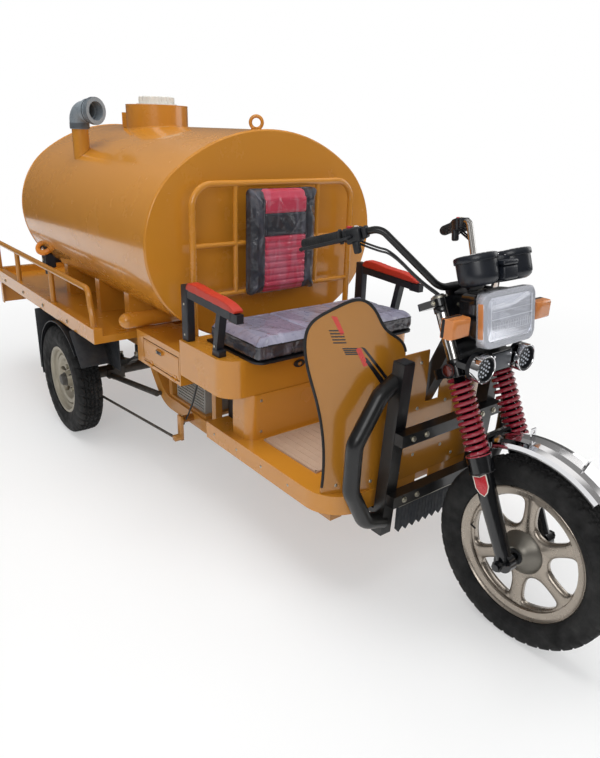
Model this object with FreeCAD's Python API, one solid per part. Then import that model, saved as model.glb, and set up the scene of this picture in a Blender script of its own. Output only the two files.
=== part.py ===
import FreeCAD, Part
import math
import os

from FreeCAD import Vector as V

# Three-wheeled cargo vehicle with an oval tank on its bed.
# Millimetres. Lengths run forward (x) from the rear axle, y to the vehicle's left, z up
# from the floor. Each solid moves back by MIDDLE_X when it is written, so the origin
# lies on the floor under the middle of the vehicle. The rear half hangs on the rear axle
# and the bed, and the front half follows the fork's crown and the wheelbase.

os.makedirs("parts", exist_ok=True)

# Driving sizes of the whole vehicle
WHEELBASE = 2257.0
BED_REAR_X = -1120.0
SHEET = 4.0
RUN_FIT = 0.05
CURVE_GAP = 0.3

# Front wheel
FRONT_TYRE_R = 300.0
FRONT_TYRE_W = 100.0
FRONT_RIM_R = 217.5
FRONT_RIM_W = 66.0
RIM_WALL = 14.0
HUB_W = 104.0
HUB_R = 70.0
SPOKES = 6
SPOKE_T = 30.0
SPOKE_WAIST = 26.0
AXLE_R = 9.0
TYRE_SIDES = 120
AXLE_W = 272.0

# Rear wheels
REAR_TYRE_R = 274.0
REAR_TYRE_W = 124.0
REAR_RIM_R = 169.0
REAR_RIM_W = 96.0
HALF_TRACK = 586.0
SPINDLE_R = 17.0
DISC_HOLES = 5
DISC_HOLE_R = 13.0
WHEEL_BOLT_R = 8.0

# Tank
TANK_REAR_X = -588.0
TANK_FRONT_X = 890.0
TANK_HALF_W = 565.0
TANK_HALF_H = 429.0
TANK_FLAT_H = 69.0
TANK_END_R = TANK_HALF_H - TANK_FLAT_H
TANK_LIFT = 13.5
HEAD_T = 8.0
HEAD_EDGE_R = 5.0
NECK_X = -94.0
NECK_R = 152.0
NECK_RISE = 95.5
NECK_RIM = 6.0
COLLAR_R = 99.0
COLLAR_H = 12.0
CAP_R = 85.0
CAP_H = 34.0
CAP_RIBS = 24
FILLER_HOLE_R = 78.0
LUG_OUT = 24.0
LUG_H = 70.0
LUG_TURN = 231.0
EYE_X = 787.0
EYE_R = 24.0
EYE_WIRE_R = 7.0
EYE_TURN = -38.0
VENT_X = -80.0
VENT_IN = 159.0
VENT_Y = VENT_IN - TANK_HALF_W
VENT_R = 38.0
VENT_DROP = 24.5
ELBOW_R = 44.0
ELBOW_UP = 80.0
ELBOW_REACH = 96.0
ELBOW_TURN = 20.0
SOCKET_R = 52.0
SOCKET_BORE_R = 41.0
SOCKET_DEPTH = 48.0
LIP_R = 58.0
LIP_T = 22.0
OUTLET_AHEAD = 107.0
OUTLET_RISE = 72.5
OUTLET_R = 34.0
OUTLET_STUB_R = 36.0
OUTLET_STUB_IN = 169.0
OUTLET_STUB_Y = OUTLET_STUB_IN - TANK_HALF_W
OUTLET_L = 116.0
OUTLET_END_Y = OUTLET_STUB_Y - OUTLET_L
VALVE_X = -466.0
VALVE_RISE = 164.5
VALVE_IN = 71.0
VALVE_Y = VALVE_IN - TANK_HALF_W
VALVE_BODY = 64.0
VALVE_RING_R = 34.0
CRADLE_X = (-388.0, 40.0, 380.0)
CRADLE_W = 50.0
CRADLE_HALF_W = 430.0

# Bed with its side rails, rear panel and tail lamps
BED_FRONT_X = 453.0
BED_HALF_W = 622.0
BED_LOW = 580.0
BED_TOP = 647.0
BED_FLOOR_TOP = 612.0
BEAM_W = 40.0
RAIL_Y = 602.0
RAIL_Z = 812.0
RAIL_HALF = 13.0
RAIL_POST_X = (-1060.0, -670.0, -112.0)
RAIL_POST_HALF = 16.0
PANEL_LOW = 430.0
PANEL_HALF_W = 600.0
HOLDER_HALF_W = 110.0
HOLDER_H = 120.0
HOLDER_T = 5.0
TAIL_LAMP_T = 26.0
TAIL_LAMP_Y = 480.0
TAIL_LAMP_HALF_W = 85.0
TAIL_LAMP_H = 86.0

# Frame and floor
FRAME_Y = 350.0
FRAME_W = 50.0
FRAME_H = 56.0
FRAME_TOP = 560.0
LOW_FRAME_TOP = 346.0
FRAME_REAR_X = -1085.0
DROP_START_X = 428.0
DROP_END_X = 600.0
FRAME_BEND = 150.0
CROSS_HALF = 20.0
SILL_LOW = 322.0
FLOOR_TOP = 390.0
FLOOR_REAR_X = 1060.0
FLOOR_HALF_W = 420.0
FLOOR_CORNER_R = 130.0
MAT_T = 6.0

# Rear axle, springs and brake rod
AXLE_TUBE_R = 30.0
AXLE_HALF = 500.0
CASE_R = 98.0
CASE_HALF_W = 60.0
MOTOR_R = 90.0
MOTOR_END_X = 300.0
DRUM_R = 88.0
DRUM_T = 12.0
LINK_Y = 394.0
LINK_R = 14.0
LINK_END = (572.0, 338.0)
LEAF_HALF = (340.0, 280.0, 215.0, 150.0)
LEAF_T = 9.0
LEAF_W = 44.0
LEAF_SEAT = 34.0
LEAF_RISE = 118.0
LEAF_EYE_R = 16.0
ROD_R = 6.0
ROD_Y = -456.0
LEVER_X = 862.0
GUARD_R = 300.0
GUARD_Y = (500.0, 640.0)
GUARD_REAR = -100.0
GUARD_SWEEP = 150.0

# Seat, its tray and boxes
TRAY_REAR_X = 966.0
TRAY_FRONT_X = 1306.0
TRAY_HALF_W = 477.0
TRAY_TOP = 714.5
TRAY_LOW = 570.5
TRAY_CORNER_R = 82.0
TRAY_OPEN_REAR = 100.0
TRAY_OPEN_FRONT = 22.0
TRAY_OPEN_HALF_W = 330.0
BOX_REAR_X = 577.0
BOX_TOP = 662.0
BOX_LOW = 520.0
BOX_DEPTH = 171.0
BOX_INNER_Y = TRAY_HALF_W - BOX_DEPTH
DOOR_L = 310.0
DOOR_H = 94.0
DOOR_BACK = 16.0
DOOR_RISE = 20.0
DOOR_GAP = 5.0
HINGE_R = 4.0
KNUCKLE = 20.0
DOOR_HINGES = (40.0, 250.0)
LID_HINGE_Y = 220.0
BATTERY_T = 112.0
BATTERY_HALF_W = 384.0
PACK_L = 130.0
PACK_H = 170.0
CONTROL_L = 246.0
CONTROL_H = 142.0
CUSHION_REAR_X = 1036.0
CUSHION_FRONT_X = 1388.0
CUSHION_HALF_W = 402.0
CUSHION_TOP = 803.0
LID_BASE_T = 8.0
RACK_X = 945.0
RACK_HALF_W = 407.5
RACK_TOP = 1301.0
RACK_R = 13.0
RACK_BAR_R = 10.0
RACK_BEND = 84.0
RACK_BARS_Z = (864.0, 1061.0)
RACK_UPRIGHT_Y = 204.0
BACK_HALF_W = 178.0
BACK_LOW = 842.0
BACK_TOP = 1278.0
BACK_T = 50.0
ARM_IN = 29.0
ARM_Y = TRAY_HALF_W - ARM_IN
ARM_RISE = 190.0
ARM_L = 386.0
ARM_BAR = 30.0

# Leg shield, bumper and flap, ahead of the floor
SHIELD_BACK = 422.0
SHIELD_T = 5.0
SHIELD_MID_W = 150.0
SHIELD_MID_H = 448.0
SHIELD_SWEEP = 0.0013
WING_HALF_W = 462.0
SLOT_HALF_W = 34.0
SLOT_RISE = 265.0
BUMPER_Y = 225.0
POST_SIZE = 46.0
POST_FOOT = (27.0, 244.0)
POST_HEAD = (65.0, 852.0)
CROSS_BAR_Z = (386.0, 608.0)
GUARD_TUBE_R = 27.0
FLAP_HALF_W = 200.0
FLAP_TOP = 366.0
FLAP_LOW = 262.0
FLAP_TEETH = 12
TOOTH_H = 18.0

# Fork: legs lean back from the front axle
RAKE = math.radians(25.9)
LEG_Y = 100.0
HEAD_OFFSET = 42.0
STEM_R = 15.0
HEAD_TUBE_R = 27.0
LOWER_CLAMP_UP = 590.0
CLAMP_SPREAD = 210.0
LOWER_CLAMP_T = 30.0
UPPER_CLAMP_T = 22.0
CLAMP_SIDE = 30.0
CLAMP_FRONT = 26.0
SPRING_SEAT_UP = 330.0
SPRING_TOP = 572.0
SPRING_R = 31.0
WIRE_R = 6.5
SPRING_TURNS = 12
STANCHION_R = 18.0
CUP_R = 38.0
CUP_H = 52.0
FENDER_R = 366.0
FENDER_HALF_W = 54.0
FENDER_FRONT = -38.0
FENDER_SWEEP = 74.0
FENDER_LUGS = (-5.7, 20.7)
ARM_GAP = 1.5
ARM_T = 4.0

# Lamps, instruments and bar, placed from the fork's crown
LAMP_AHEAD = 178.5
LAMP_DROP = 16.6
LAMP_HALF_W = 111.0
LAMP_HALF_H = 72.0
LAMP_DEPTH = 95.0
BEZEL = 11.0
BEZEL_T = 22.0
LAMP_TILT = 8.0
BRACKET_T = 5.0
SPOT_R = 42.0
SPOT_T = 42.0
SPOT_Y = 98.0
SPOT_DROP = 141.0
SIGNAL_Y = 196.0
SIGNAL_HALF_W = 38.0
SIGNAL_H = 56.0
SIGNAL_T = 46.0
SIGNAL_RISE = -12.0
STALK_R = 8.0
REFLECTOR_R = 20.0
REFLECTOR_T = 8.0
POD_Y = 80.0
POD_FOOT = (118.0, 71.0)
POD_LEAN = 20.0
POD_R = 56.0
POD_LIP_R = 61.0
POD_H = 86.0
POD_BOX_HALF_W = 36.0
BAR_R = 11.0
BAR_FOOT = (-17.6, 38.4)
BAR_BEND = (-166.0, 202.0)
BAR_END = (-370.0, 134.0)
BAR_FOOT_Y = 88.0
BAR_BEND_Y = 206.0
BAR_END_Y = 330.0
RISER_H = 43.0
GRIP_R = 16.5
GRIP_L = 128.0
SWITCH_R = 21.0
SWITCH_L = 48.0
LEVER_R = 5.0

# Places worked out from the sizes above
MIDDLE_X = (BED_REAR_X - TAIL_LAMP_T + WHEELBASE + FRONT_TYRE_R) / 2.0
TANK_LOW = BED_FLOOR_TOP + TANK_LIFT
TANK_Z = TANK_LOW + TANK_HALF_H
TANK_TOP = TANK_Z + TANK_HALF_H
NECK_TOP = TANK_TOP + NECK_RISE
NECK_PLATE_Z = NECK_TOP - NECK_RIM
FRAME_LOW = FRAME_TOP - FRAME_H
LOW_FRAME_LOW = LOW_FRAME_TOP - FRAME_H
SHIELD_X = WHEELBASE - SHIELD_BACK
FLOOR_FRONT_X = SHIELD_X - 9.0
FRAME_FRONT_X = SHIELD_X - 60.0
UPPER_CLAMP_UP = LOWER_CLAMP_UP + CLAMP_SPREAD
CUP_TOP = SPRING_SEAT_UP
CUP_LOW = CUP_TOP - CUP_H
UPPER_FACE_UP = UPPER_CLAMP_UP + UPPER_CLAMP_T / 2.0
AX, AZ = WHEELBASE, FRONT_TYRE_R
CROWN_X = AX - UPPER_CLAMP_UP * math.sin(RAKE)
CROWN_Z = AZ + UPPER_CLAMP_UP * math.cos(RAKE)
LAMP_X = CROWN_X + LAMP_AHEAD
LAMP_Z = CROWN_Z - LAMP_DROP
BAR = [(CROWN_X + BAR_FOOT[0], 0, CROWN_Z + BAR_FOOT[1]),
       (CROWN_X + BAR_FOOT[0], -BAR_FOOT_Y, CROWN_Z + BAR_FOOT[1]),
       (CROWN_X + BAR_BEND[0], -BAR_BEND_Y, CROWN_Z + BAR_BEND[1]),
       (CROWN_X + BAR_END[0], -BAR_END_Y, CROWN_Z + BAR_END[1])]


# Helpers

def box(x0, x1, y0, y1, z0, z1):
    """Block between two corners, its y limits in either order."""
    return Part.makeBox(x1 - x0, abs(y1 - y0), z1 - z0, V(x0, min(y0, y1), z0))


def cylinder(radius, start, end):
    run = V(*end) - V(*start)
    return Part.makeCylinder(radius, run.Length, V(*start), run)


def cone(r0, r1, start, end):
    run = V(*end) - V(*start)
    return Part.makeCone(r0, r1, run.Length, V(*start), run)


def prism(points, move):
    """Solid swept straight from a closed flat outline."""
    wire = Part.makePolygon([V(*p) for p in points] + [V(*points[0])])
    return Part.Face(wire).extrude(V(*move))


def smooth_edge(points):
    """Curve through a few points."""
    curve = Part.BSplineCurve()
    curve.interpolate([V(*p) for p in points])
    return curve.toShape()


def bent_path(points, bend):
    """Straight runs joined by arcs of one radius."""
    pts = [V(*p) for p in points]
    if len(pts) == 2:
        return Part.Wire(Part.makeLine(pts[0], pts[1]))
    edges = []
    start = pts[0]
    for before, corner, after in zip(pts, pts[1:], pts[2:]):
        u = (before - corner).normalize()
        w = (after - corner).normalize()
        half = u.getAngle(w) / 2.0
        cut = bend / math.tan(half)
        first = corner + u * cut
        last = corner + w * cut
        middle = (u + w).normalize()
        centre = corner + middle * (bend / math.sin(half))
        edges.append(Part.makeLine(start, first))
        edges.append(Part.Arc(first, centre - middle * bend, last).toShape())
        start = last
    edges.append(Part.makeLine(start, pts[-1]))
    return Part.Wire(edges)


def tube(points, radius, bend=40.0):
    """Round bar along a bent path."""
    run = V(*points[1]) - V(*points[0])
    ring = Part.Wire(Part.makeCircle(radius, V(*points[0]), run))
    return bent_path(points, bend).makePipeShell([ring], True, False)


def square_bar(points, width, height, bend=40.0):
    """Rectangular bar along a bent path in an upright plane; its width lies along y."""
    start = V(*points[0])
    run = (V(*points[1]) - start).normalize()
    across = V(0, width / 2.0, 0)
    up = run.cross(V(0, 1, 0)).normalize() * (height / 2.0)
    corners = [start + across + up, start - across + up, start - across - up, start + across - up]
    ring = Part.makePolygon(corners + [corners[0]])
    return bent_path(points, bend).makePipeShell([ring], True, False)


def turned(profile, centre, sweep=360.0):
    """Solid turned about y from (distance along y, radius) pairs."""
    cx, cy, cz = centre
    pts = [V(cx, cy + a, cz + r) for a, r in profile]
    face = Part.Face(Part.makePolygon(pts + [pts[0]]))
    return face.revolve(V(cx, cy, cz), V(0, 1, 0), sweep)


def facet_ring(profile, centre, sides):
    """Ring of flat facets about y from (distance along y, radius) pairs."""
    cx, cy, cz = centre
    angles = [math.tau * i / sides for i in range(sides)]
    rows = [[V(cx + r * math.sin(a), cy + along, cz + r * math.cos(a)) for a in angles] for along, r in profile]
    faces = []
    for row, after in zip(rows, rows[1:] + rows[:1]):
        for i in range(sides):
            corners = [row[i - 1], row[i], after[i], after[i - 1]]
            faces.append(Part.Face(Part.makePolygon(corners + corners[:1])))
    shell = Part.Shell(faces)
    shell.sewShape()
    return Part.Solid(shell)


def mirrored_profile(half):
    """Whole profile from its right half, given from the middle outwards."""
    return [(-a, r) for a, r in half[::-1]] + list(half)


def rounded(solid, radius, test):
    """Fillet of the edges whose bounding box passes a test."""
    return solid.makeFillet(radius, [e for e in solid.Edges if test(e.BoundBox)])


def rounded_plate(x0, x1, half_w, z0, z1, radius):
    """Plate in plan with its front corners rounded."""
    middle = (x0 + x1) / 2.0
    return rounded(box(x0, x1, -half_w, half_w, z0, z1), radius,
                   lambda b: b.ZLength > 0.9 * (z1 - z0) and b.XMin > middle and b.YLength < 0.01)


def mirror(shape):
    return shape.mirror(V(0, 0, 0), V(0, 1, 0))


def both(shape):
    """Right and left pieces as two solids that don't touch."""
    return Part.makeCompound([shape, mirror(shape)])


def fuse(shapes):
    result = shapes[0].fuse(shapes[1:]) if len(shapes) > 1 else shapes[0]
    return result.removeSplitter()


def turn(shape, degrees, centre=(0, 0, 0), axis=(0, 0, 1)):
    copy = shape.copy()
    copy.rotate(V(*centre), V(*axis), degrees)
    return copy


def fork_point(up, y=0.0, ahead=0.0):
    """Point on the fork: distance up the legs from the axle, and ahead of their line."""
    x = AX - up * math.sin(RAKE) + ahead * math.cos(RAKE)
    z = AZ + up * math.cos(RAKE) + ahead * math.sin(RAKE)
    return (x, y, z)


def lean(shape):
    """Turn a piece drawn upright over the front axle back to the fork's rake."""
    return turn(shape, -math.degrees(RAKE), (AX, 0, AZ), (0, 1, 0))


def tilt(shape):
    """Turn a piece about the headlamp's middle by the lamp's tilt."""
    return turn(shape, -LAMP_TILT, (LAMP_X, 0, LAMP_Z), (0, 1, 0))


# Tank: two flat heads close an oval shell that carries the manhole's neck and a lifting eye

def oval(grow, x0, x1):
    """Oval drum along x, drawn with end arcs and flatter top and bottom arcs, grown all round."""
    flat_r = (TANK_HALF_W ** 2 + TANK_HALF_H ** 2 - 2 * TANK_HALF_W * TANK_END_R) / (
        2.0 * (TANK_HALF_H - TANK_END_R))
    drop = flat_r - TANK_HALF_H
    reach = TANK_HALF_W - TANK_END_R
    angle = math.atan2(drop, reach)
    y1 = reach + (TANK_END_R + grow) * math.cos(angle)
    z1 = (TANK_END_R + grow) * math.sin(angle)
    half_w, half_h = TANK_HALF_W + grow, TANK_HALF_H + grow
    stops = [(y1, z1), (0, half_h), (-y1, z1), (-half_w, 0), (-y1, -z1), (0, -half_h), (y1, -z1), (half_w, 0)]
    stops = [V(x0, y, TANK_Z + z) for y, z in stops]
    arcs = [Part.Arc(stops[i], stops[i + 1], stops[(i + 2) % 8]).toShape() for i in (0, 2, 4, 6)]
    return Part.Face(Part.Wire(arcs)).extrude(V(x1 - x0, 0, 0))


def tank_space():
    """What the tank takes up, with the gap that curved seats keep."""
    return oval(CURVE_GAP, TANK_REAR_X - 50, TANK_FRONT_X + 50)


def tank_head(x0, outer_x):
    return rounded(oval(0, x0, x0 + HEAD_T), HEAD_EDGE_R,
                   lambda b: abs(b.XMin - outer_x) < 0.01 and b.XLength < 0.01)


def tank_shell():
    lug = box(NECK_R - 3, NECK_R + LUG_OUT, -8, 8, NECK_TOP - 37 - LUG_H, NECK_TOP - 37)
    lug = turn(lug, LUG_TURN)
    lug.translate(V(NECK_X, 0, 0))
    facing = math.radians(EYE_TURN)
    eye = Part.makeTorus(EYE_R, EYE_WIRE_R, V(EYE_X, 0, TANK_TOP + EYE_R + 2),
                         V(math.cos(facing), math.sin(facing), 0))
    eye_foot = box(EYE_X - 20, EYE_X + 20, -12, 12, TANK_TOP - 2, TANK_TOP + 7)
    neck = cylinder(NECK_R, (NECK_X, 0, TANK_Z + TANK_HALF_H / 2), (NECK_X, 0, NECK_TOP))
    shell = oval(0, TANK_REAR_X + HEAD_T, TANK_FRONT_X - HEAD_T).fuse([neck, lug, eye, eye_foot])
    shell = shell.cut(oval(-SHEET, TANK_REAR_X, TANK_FRONT_X))
    inside_r = NECK_R - SHEET
    plate_low = NECK_PLATE_Z - SHEET
    shell = shell.cut(cylinder(inside_r, (NECK_X, 0, TANK_Z + TANK_HALF_H / 2 - 10), (NECK_X, 0, plate_low)))
    shell = shell.cut(cylinder(inside_r, (NECK_X, 0, NECK_PLATE_Z), (NECK_X, 0, NECK_TOP + 1)))
    return shell.cut(cylinder(FILLER_HOLE_R, (NECK_X, 0, plate_low - 1), (NECK_X, 0, NECK_PLATE_Z + 1)))


def filler_cap():
    """White threaded collar and its ribbed screw cap."""
    cap_low = NECK_PLATE_Z + COLLAR_H
    cap_top = cap_low + CAP_H
    collar = cylinder(COLLAR_R, (NECK_X, 0, NECK_PLATE_Z), (NECK_X, 0, cap_low))
    cap = rounded(cylinder(CAP_R, (NECK_X, 0, cap_low), (NECK_X, 0, cap_top)), 4.0,
                  lambda b: abs(b.ZMin - cap_top) < 0.01 and b.ZLength < 0.01)
    pieces = [collar, cap]
    for i in range(CAP_RIBS):
        rib = turn(box(CAP_R - 2, CAP_R + 3, -3, 3, cap_low + 2, cap_top - 6), 360.0 * i / CAP_RIBS)
        rib.translate(V(NECK_X, 0, 0))
        pieces.append(rib)
    return fuse(pieces)


VENT_TOP = TANK_TOP - VENT_DROP
ELBOW_Z = VENT_TOP + ELBOW_UP


def vent_point(along, z):
    """Point beside the vent, along the way its elbow opens."""
    facing = math.radians(ELBOW_TURN)
    return (VENT_X + math.cos(facing) * along, VENT_Y + math.sin(facing) * along, z)


def vent_elbow():
    """Grey elbow on the vent, open forward through a socket with a thick lip."""
    end = ELBOW_REACH + LIP_T
    route = [vent_point(0, VENT_TOP), vent_point(0, ELBOW_Z), vent_point(ELBOW_REACH, ELBOW_Z)]
    inside = [vent_point(0, VENT_TOP - 5)] + route[1:]
    socket = cylinder(SOCKET_R, vent_point(end - SOCKET_DEPTH - 8, ELBOW_Z), vent_point(end - 6, ELBOW_Z))
    lip = cylinder(LIP_R, vent_point(ELBOW_REACH, ELBOW_Z), vent_point(end, ELBOW_Z))
    bore = cylinder(SOCKET_BORE_R, vent_point(end - SOCKET_DEPTH, ELBOW_Z), vent_point(end + 10, ELBOW_Z))
    elbow = tube(route, ELBOW_R, ELBOW_R + 2).fuse([socket, lip])
    return elbow.cut(bore).cut(tube(inside, VENT_R - SHEET, ELBOW_R + 2))


def tank_pipes():
    """Painted vent stub, and the outlet at the front right with its domed end."""
    vent = cylinder(VENT_R, (VENT_X, VENT_Y, VENT_TOP - 180), (VENT_X, VENT_Y, VENT_TOP)).cut(
        cylinder(VENT_R - SHEET, (VENT_X, VENT_Y, VENT_TOP - 190), (VENT_X, VENT_Y, VENT_TOP + 1)))
    x, z = BED_FRONT_X + OUTLET_AHEAD, TANK_LOW + OUTLET_RISE
    stub = cylinder(OUTLET_STUB_R, (x, OUTLET_STUB_Y + 200, z), (x, OUTLET_STUB_Y, z))
    pipe = cylinder(OUTLET_R, (x, OUTLET_STUB_Y + 20, z), (x, OUTLET_END_Y, z))
    dome = Part.makeSphere(OUTLET_R, V(x, OUTLET_END_Y, z))
    return Part.makeCompound([vent.cut(tank_space()), fuse([stub, pipe, dome]).cut(tank_space())])


def drain_valve():
    """Gate valve with a hand ring on a leaning stem."""
    z = TANK_LOW + VALVE_RISE
    half = VALVE_BODY / 2.0
    ring_at = V(VALVE_X, VALVE_Y - 11, z + 68)
    pieces = [cylinder(20, (VALVE_X, VALVE_Y + 100, z), (VALVE_X, VALVE_Y + 4, z)),
              box(VALVE_X - half, VALVE_X + half, VALVE_Y - 26, VALVE_Y + 26, z - 38, z + 32),
              cylinder(24, (VALVE_X, VALVE_Y, z - 75), (VALVE_X, VALVE_Y, z - 30)),
              Part.makeTorus(VALVE_RING_R, 11.0, ring_at, V(0.45, -0.55, 0.7)),
              cylinder(9, (VALVE_X, VALVE_Y - 11, z + 25), tuple(ring_at)),
              box(VALVE_X - half + 2, VALVE_X + half - 2, VALVE_Y - 17, VALVE_Y - 5, z + 61, z + 73)]
    return fuse(pieces).cut(tank_space())


def tank_cradles():
    """Saddles that carry the tank on the bed's floor."""
    saddles = []
    for x in CRADLE_X:
        x0, x1 = x - CRADLE_W / 2, x + CRADLE_W / 2
        block = box(x0, x1, -CRADLE_HALF_W, CRADLE_HALF_W, BED_FLOOR_TOP, TANK_Z - TANK_HALF_H / 2)
        saddles += block.cut(oval(CURVE_GAP, x0 - 10, x1 + 10)).Solids
    return Part.makeCompound(saddles)


# Bed: sheet floor inside a folded edge beam, its front beam kept low under the tank

def bed():
    beam = box(BED_REAR_X, BED_FRONT_X, -BED_HALF_W, BED_HALF_W, BED_LOW, BED_TOP)
    beam = beam.cut(box(BED_REAR_X + BEAM_W, BED_FRONT_X - BEAM_W, -BED_HALF_W + BEAM_W, BED_HALF_W - BEAM_W,
                        BED_LOW - 1, BED_TOP + 1))
    beam = beam.cut(box(BED_FRONT_X - BEAM_W - 1, BED_FRONT_X + 1, -BED_HALF_W + BEAM_W, BED_HALF_W - BEAM_W,
                        BED_FLOOR_TOP, BED_TOP + 1))
    half = BEAM_W / 2.0
    floor = box(BED_REAR_X + half, BED_FRONT_X - half, -BED_HALF_W + half, BED_HALF_W - half,
                BED_FLOOR_TOP - SHEET, BED_FLOOR_TOP)
    return fuse([beam, floor])


def side_rail(sign):
    """Rail of square tube on posts, its front end led down to the bed in a bent foot."""
    y = RAIL_Y * sign
    front = BED_FRONT_X - 89
    y0, y1 = y - RAIL_HALF, y + RAIL_HALF
    pieces = [box(BED_REAR_X + BEAM_W, front, y0, y1, RAIL_Z - RAIL_HALF, RAIL_Z + RAIL_HALF)]
    for x in RAIL_POST_X:
        pieces.append(box(x - RAIL_POST_HALF, x + RAIL_POST_HALF, y0, y1, BED_TOP, RAIL_Z))
    knee = BED_TOP + 88
    pieces.append(prism([(front - 20, y0 - 1, RAIL_Z + RAIL_HALF), (front + 8, y0 - 1, RAIL_Z + RAIL_HALF),
                         (front + 34, y0 - 1, knee), (front + 66, y0 - 1, BED_TOP), (front + 22, y0 - 1,
                                                                                     BED_TOP),
                         (front + 4, y0 - 1, knee)], (0, 2 * RAIL_HALF + 2, 0)))
    return fuse(pieces)


def rear_panel():
    """Sheet under the bed's rear edge with folded ends and the number plate's holder."""
    middle = (PANEL_LOW + BED_LOW) / 2.0 - SHEET
    pieces = [box(BED_REAR_X, BED_REAR_X + 6, -PANEL_HALF_W, PANEL_HALF_W, PANEL_LOW, BED_LOW),
              box(BED_REAR_X - HOLDER_T, BED_REAR_X, -HOLDER_HALF_W, HOLDER_HALF_W, middle - HOLDER_H / 2,
                  middle + HOLDER_H / 2)]
    for s in (-1, 1):
        pieces.append(box(BED_REAR_X + 6, BED_REAR_X + 36, s * (PANEL_HALF_W - 6), s * PANEL_HALF_W,
                          PANEL_LOW,
                          BED_LOW))
    return fuse(pieces)


def tail_lamp():
    z = (PANEL_LOW + BED_LOW) / 2.0
    back = BED_REAR_X - TAIL_LAMP_T
    body = box(back, BED_REAR_X, -TAIL_LAMP_Y - TAIL_LAMP_HALF_W, -TAIL_LAMP_Y + TAIL_LAMP_HALF_W,
               z - TAIL_LAMP_H / 2, z + TAIL_LAMP_H / 2)
    return rounded(body, 9.0, lambda b: abs(b.XMax - back) < 0.01)


# Frame: two bars that run back under the bed and drop to the floor, with cross bars

def main_frame():
    high, low = FRAME_TOP - FRAME_H / 2, LOW_FRAME_TOP - FRAME_H / 2
    pieces = []
    for s in (-1, 1):
        y = s * FRAME_Y
        pieces.append(square_bar([(FRAME_REAR_X, y, high), (DROP_START_X, y, high), (DROP_END_X, y, low),
                                  (FRAME_FRONT_X, y, low)], FRAME_W, FRAME_H, FRAME_BEND))
        # Posts that carry the seat tray and the tool boxes
        pieces.append(box(TRAY_REAR_X + 46, TRAY_REAR_X + 76, y - 15, y + 15, LOW_FRAME_TOP,
                          TRAY_TOP - SHEET))
        pieces.append(box(BOX_REAR_X + 60, BOX_REAR_X + 90, y - 15, y + 15, LOW_FRAME_TOP - 20, BOX_LOW))
    for x in (FRAME_REAR_X + 25, FRAME_REAR_X + 365, FRAME_REAR_X + 745, BED_FRONT_X - 143):
        pieces.append(box(x - CROSS_HALF, x + CROSS_HALF, -PANEL_HALF_W + 40, PANEL_HALF_W - 40, FRAME_TOP,
                          BED_LOW))
    for x in (FRAME_REAR_X + 585, BED_FRONT_X - 203):
        pieces.append(box(x - CROSS_HALF, x + CROSS_HALF, -FRAME_Y, FRAME_Y, FRAME_LOW + 10, FRAME_TOP - 10))
    pieces.append(box(DROP_END_X + 100, DROP_END_X + 140, -FRAME_Y, FRAME_Y, LOW_FRAME_LOW + 8,
                      LOW_FRAME_TOP))
    for x in (FLOOR_REAR_X + 30, SHIELD_X - 335, SHIELD_X - 105):
        pieces.append(box(x - 25, x + 25, -FRAME_Y, FRAME_Y, LOW_FRAME_LOW + 8, FLOOR_TOP - SHEET))
    # Shelf of the control box
    shelf_x = TRAY_REAR_X - 6
    pieces.append(box(shelf_x - CONTROL_L - 54, shelf_x, -FRAME_Y - 15, -FRAME_Y + 145, LOW_FRAME_TOP,
                      LOW_FRAME_TOP + 12))
    return fuse(pieces)


def front_frame():
    """Spine behind the leg shield, with the steering head that holds the fork's stem."""
    head = cylinder(HEAD_TUBE_R, fork_point(LOWER_CLAMP_UP + LOWER_CLAMP_T / 2 + 3, 0, -HEAD_OFFSET),
                    fork_point(UPPER_CLAMP_UP - UPPER_CLAMP_T / 2 - 3, 0, -HEAD_OFFSET))
    spine = square_bar([(SHIELD_X - 80, 0, FLOOR_TOP - 20), (SHIELD_X - 65, 0, FLOOR_TOP + 210),
                        fork_point(LOWER_CLAMP_UP + 110, 0, -HEAD_OFFSET - 12)], 50, 46, 60)
    spine = spine.cut(box(SHIELD_X - 140, SHIELD_X + 20, -40, 40, FLOOR_TOP - 90, FLOOR_TOP - SHEET))
    bore = cylinder(STEM_R + RUN_FIT, fork_point(LOWER_CLAMP_UP - 40, 0, -HEAD_OFFSET),
                    fork_point(UPPER_CLAMP_UP + 40, 0, -HEAD_OFFSET))
    return fuse([spine, head]).cut(bore)


# Rear axle: tube, middle gearbox with the motor, hub spindles and links to the frame's drop

def rear_axle():
    z = REAR_TYRE_R
    pieces = [cylinder(AXLE_TUBE_R, (0, -AXLE_HALF, z), (0, AXLE_HALF, z)),
              cylinder(CASE_R - 14, (0, -CASE_HALF_W, z), (0, CASE_HALF_W, z)), Part.makeSphere(CASE_R,
                                                                                                V(0, 0, z)),
              cylinder(MOTOR_R, (CASE_HALF_W, 0, z + 16), (MOTOR_END_X, 0, z + 16)),
              box(-34, -8, ROD_Y + 10, ROD_Y + 20, 140, z - 12)]
    for s in (-1, 1):
        pieces.append(cylinder(SPINDLE_R, (0, s * (AXLE_HALF - 2), z), (0, s * (HALF_TRACK + 10), z)))
        pieces.append(cylinder(DRUM_R, (0, s * AXLE_HALF, z), (0, s * (AXLE_HALF + DRUM_T), z)))
        pieces.append(box(-45, 45, s * (FRAME_Y - 28), s * (FRAME_Y + 28), z - LEAF_SEAT, z + LEAF_SEAT))
        pieces.append(tube([(30, s * LINK_Y, z - 16), (LINK_END[0], s * LINK_Y, LINK_END[1])], LINK_R))
        pieces.append(box(-20, 45, s * (LINK_Y - 16), s * (LINK_Y + 16), z - 30, z + 16))
        pieces.append(cylinder(LINK_R - 4, (LINK_END[0], s * (FRAME_Y + FRAME_W / 2 + CURVE_GAP),
                                            LINK_END[1]),
                               (LINK_END[0], s * LINK_Y, LINK_END[1])))
    return fuse(pieces)


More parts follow.
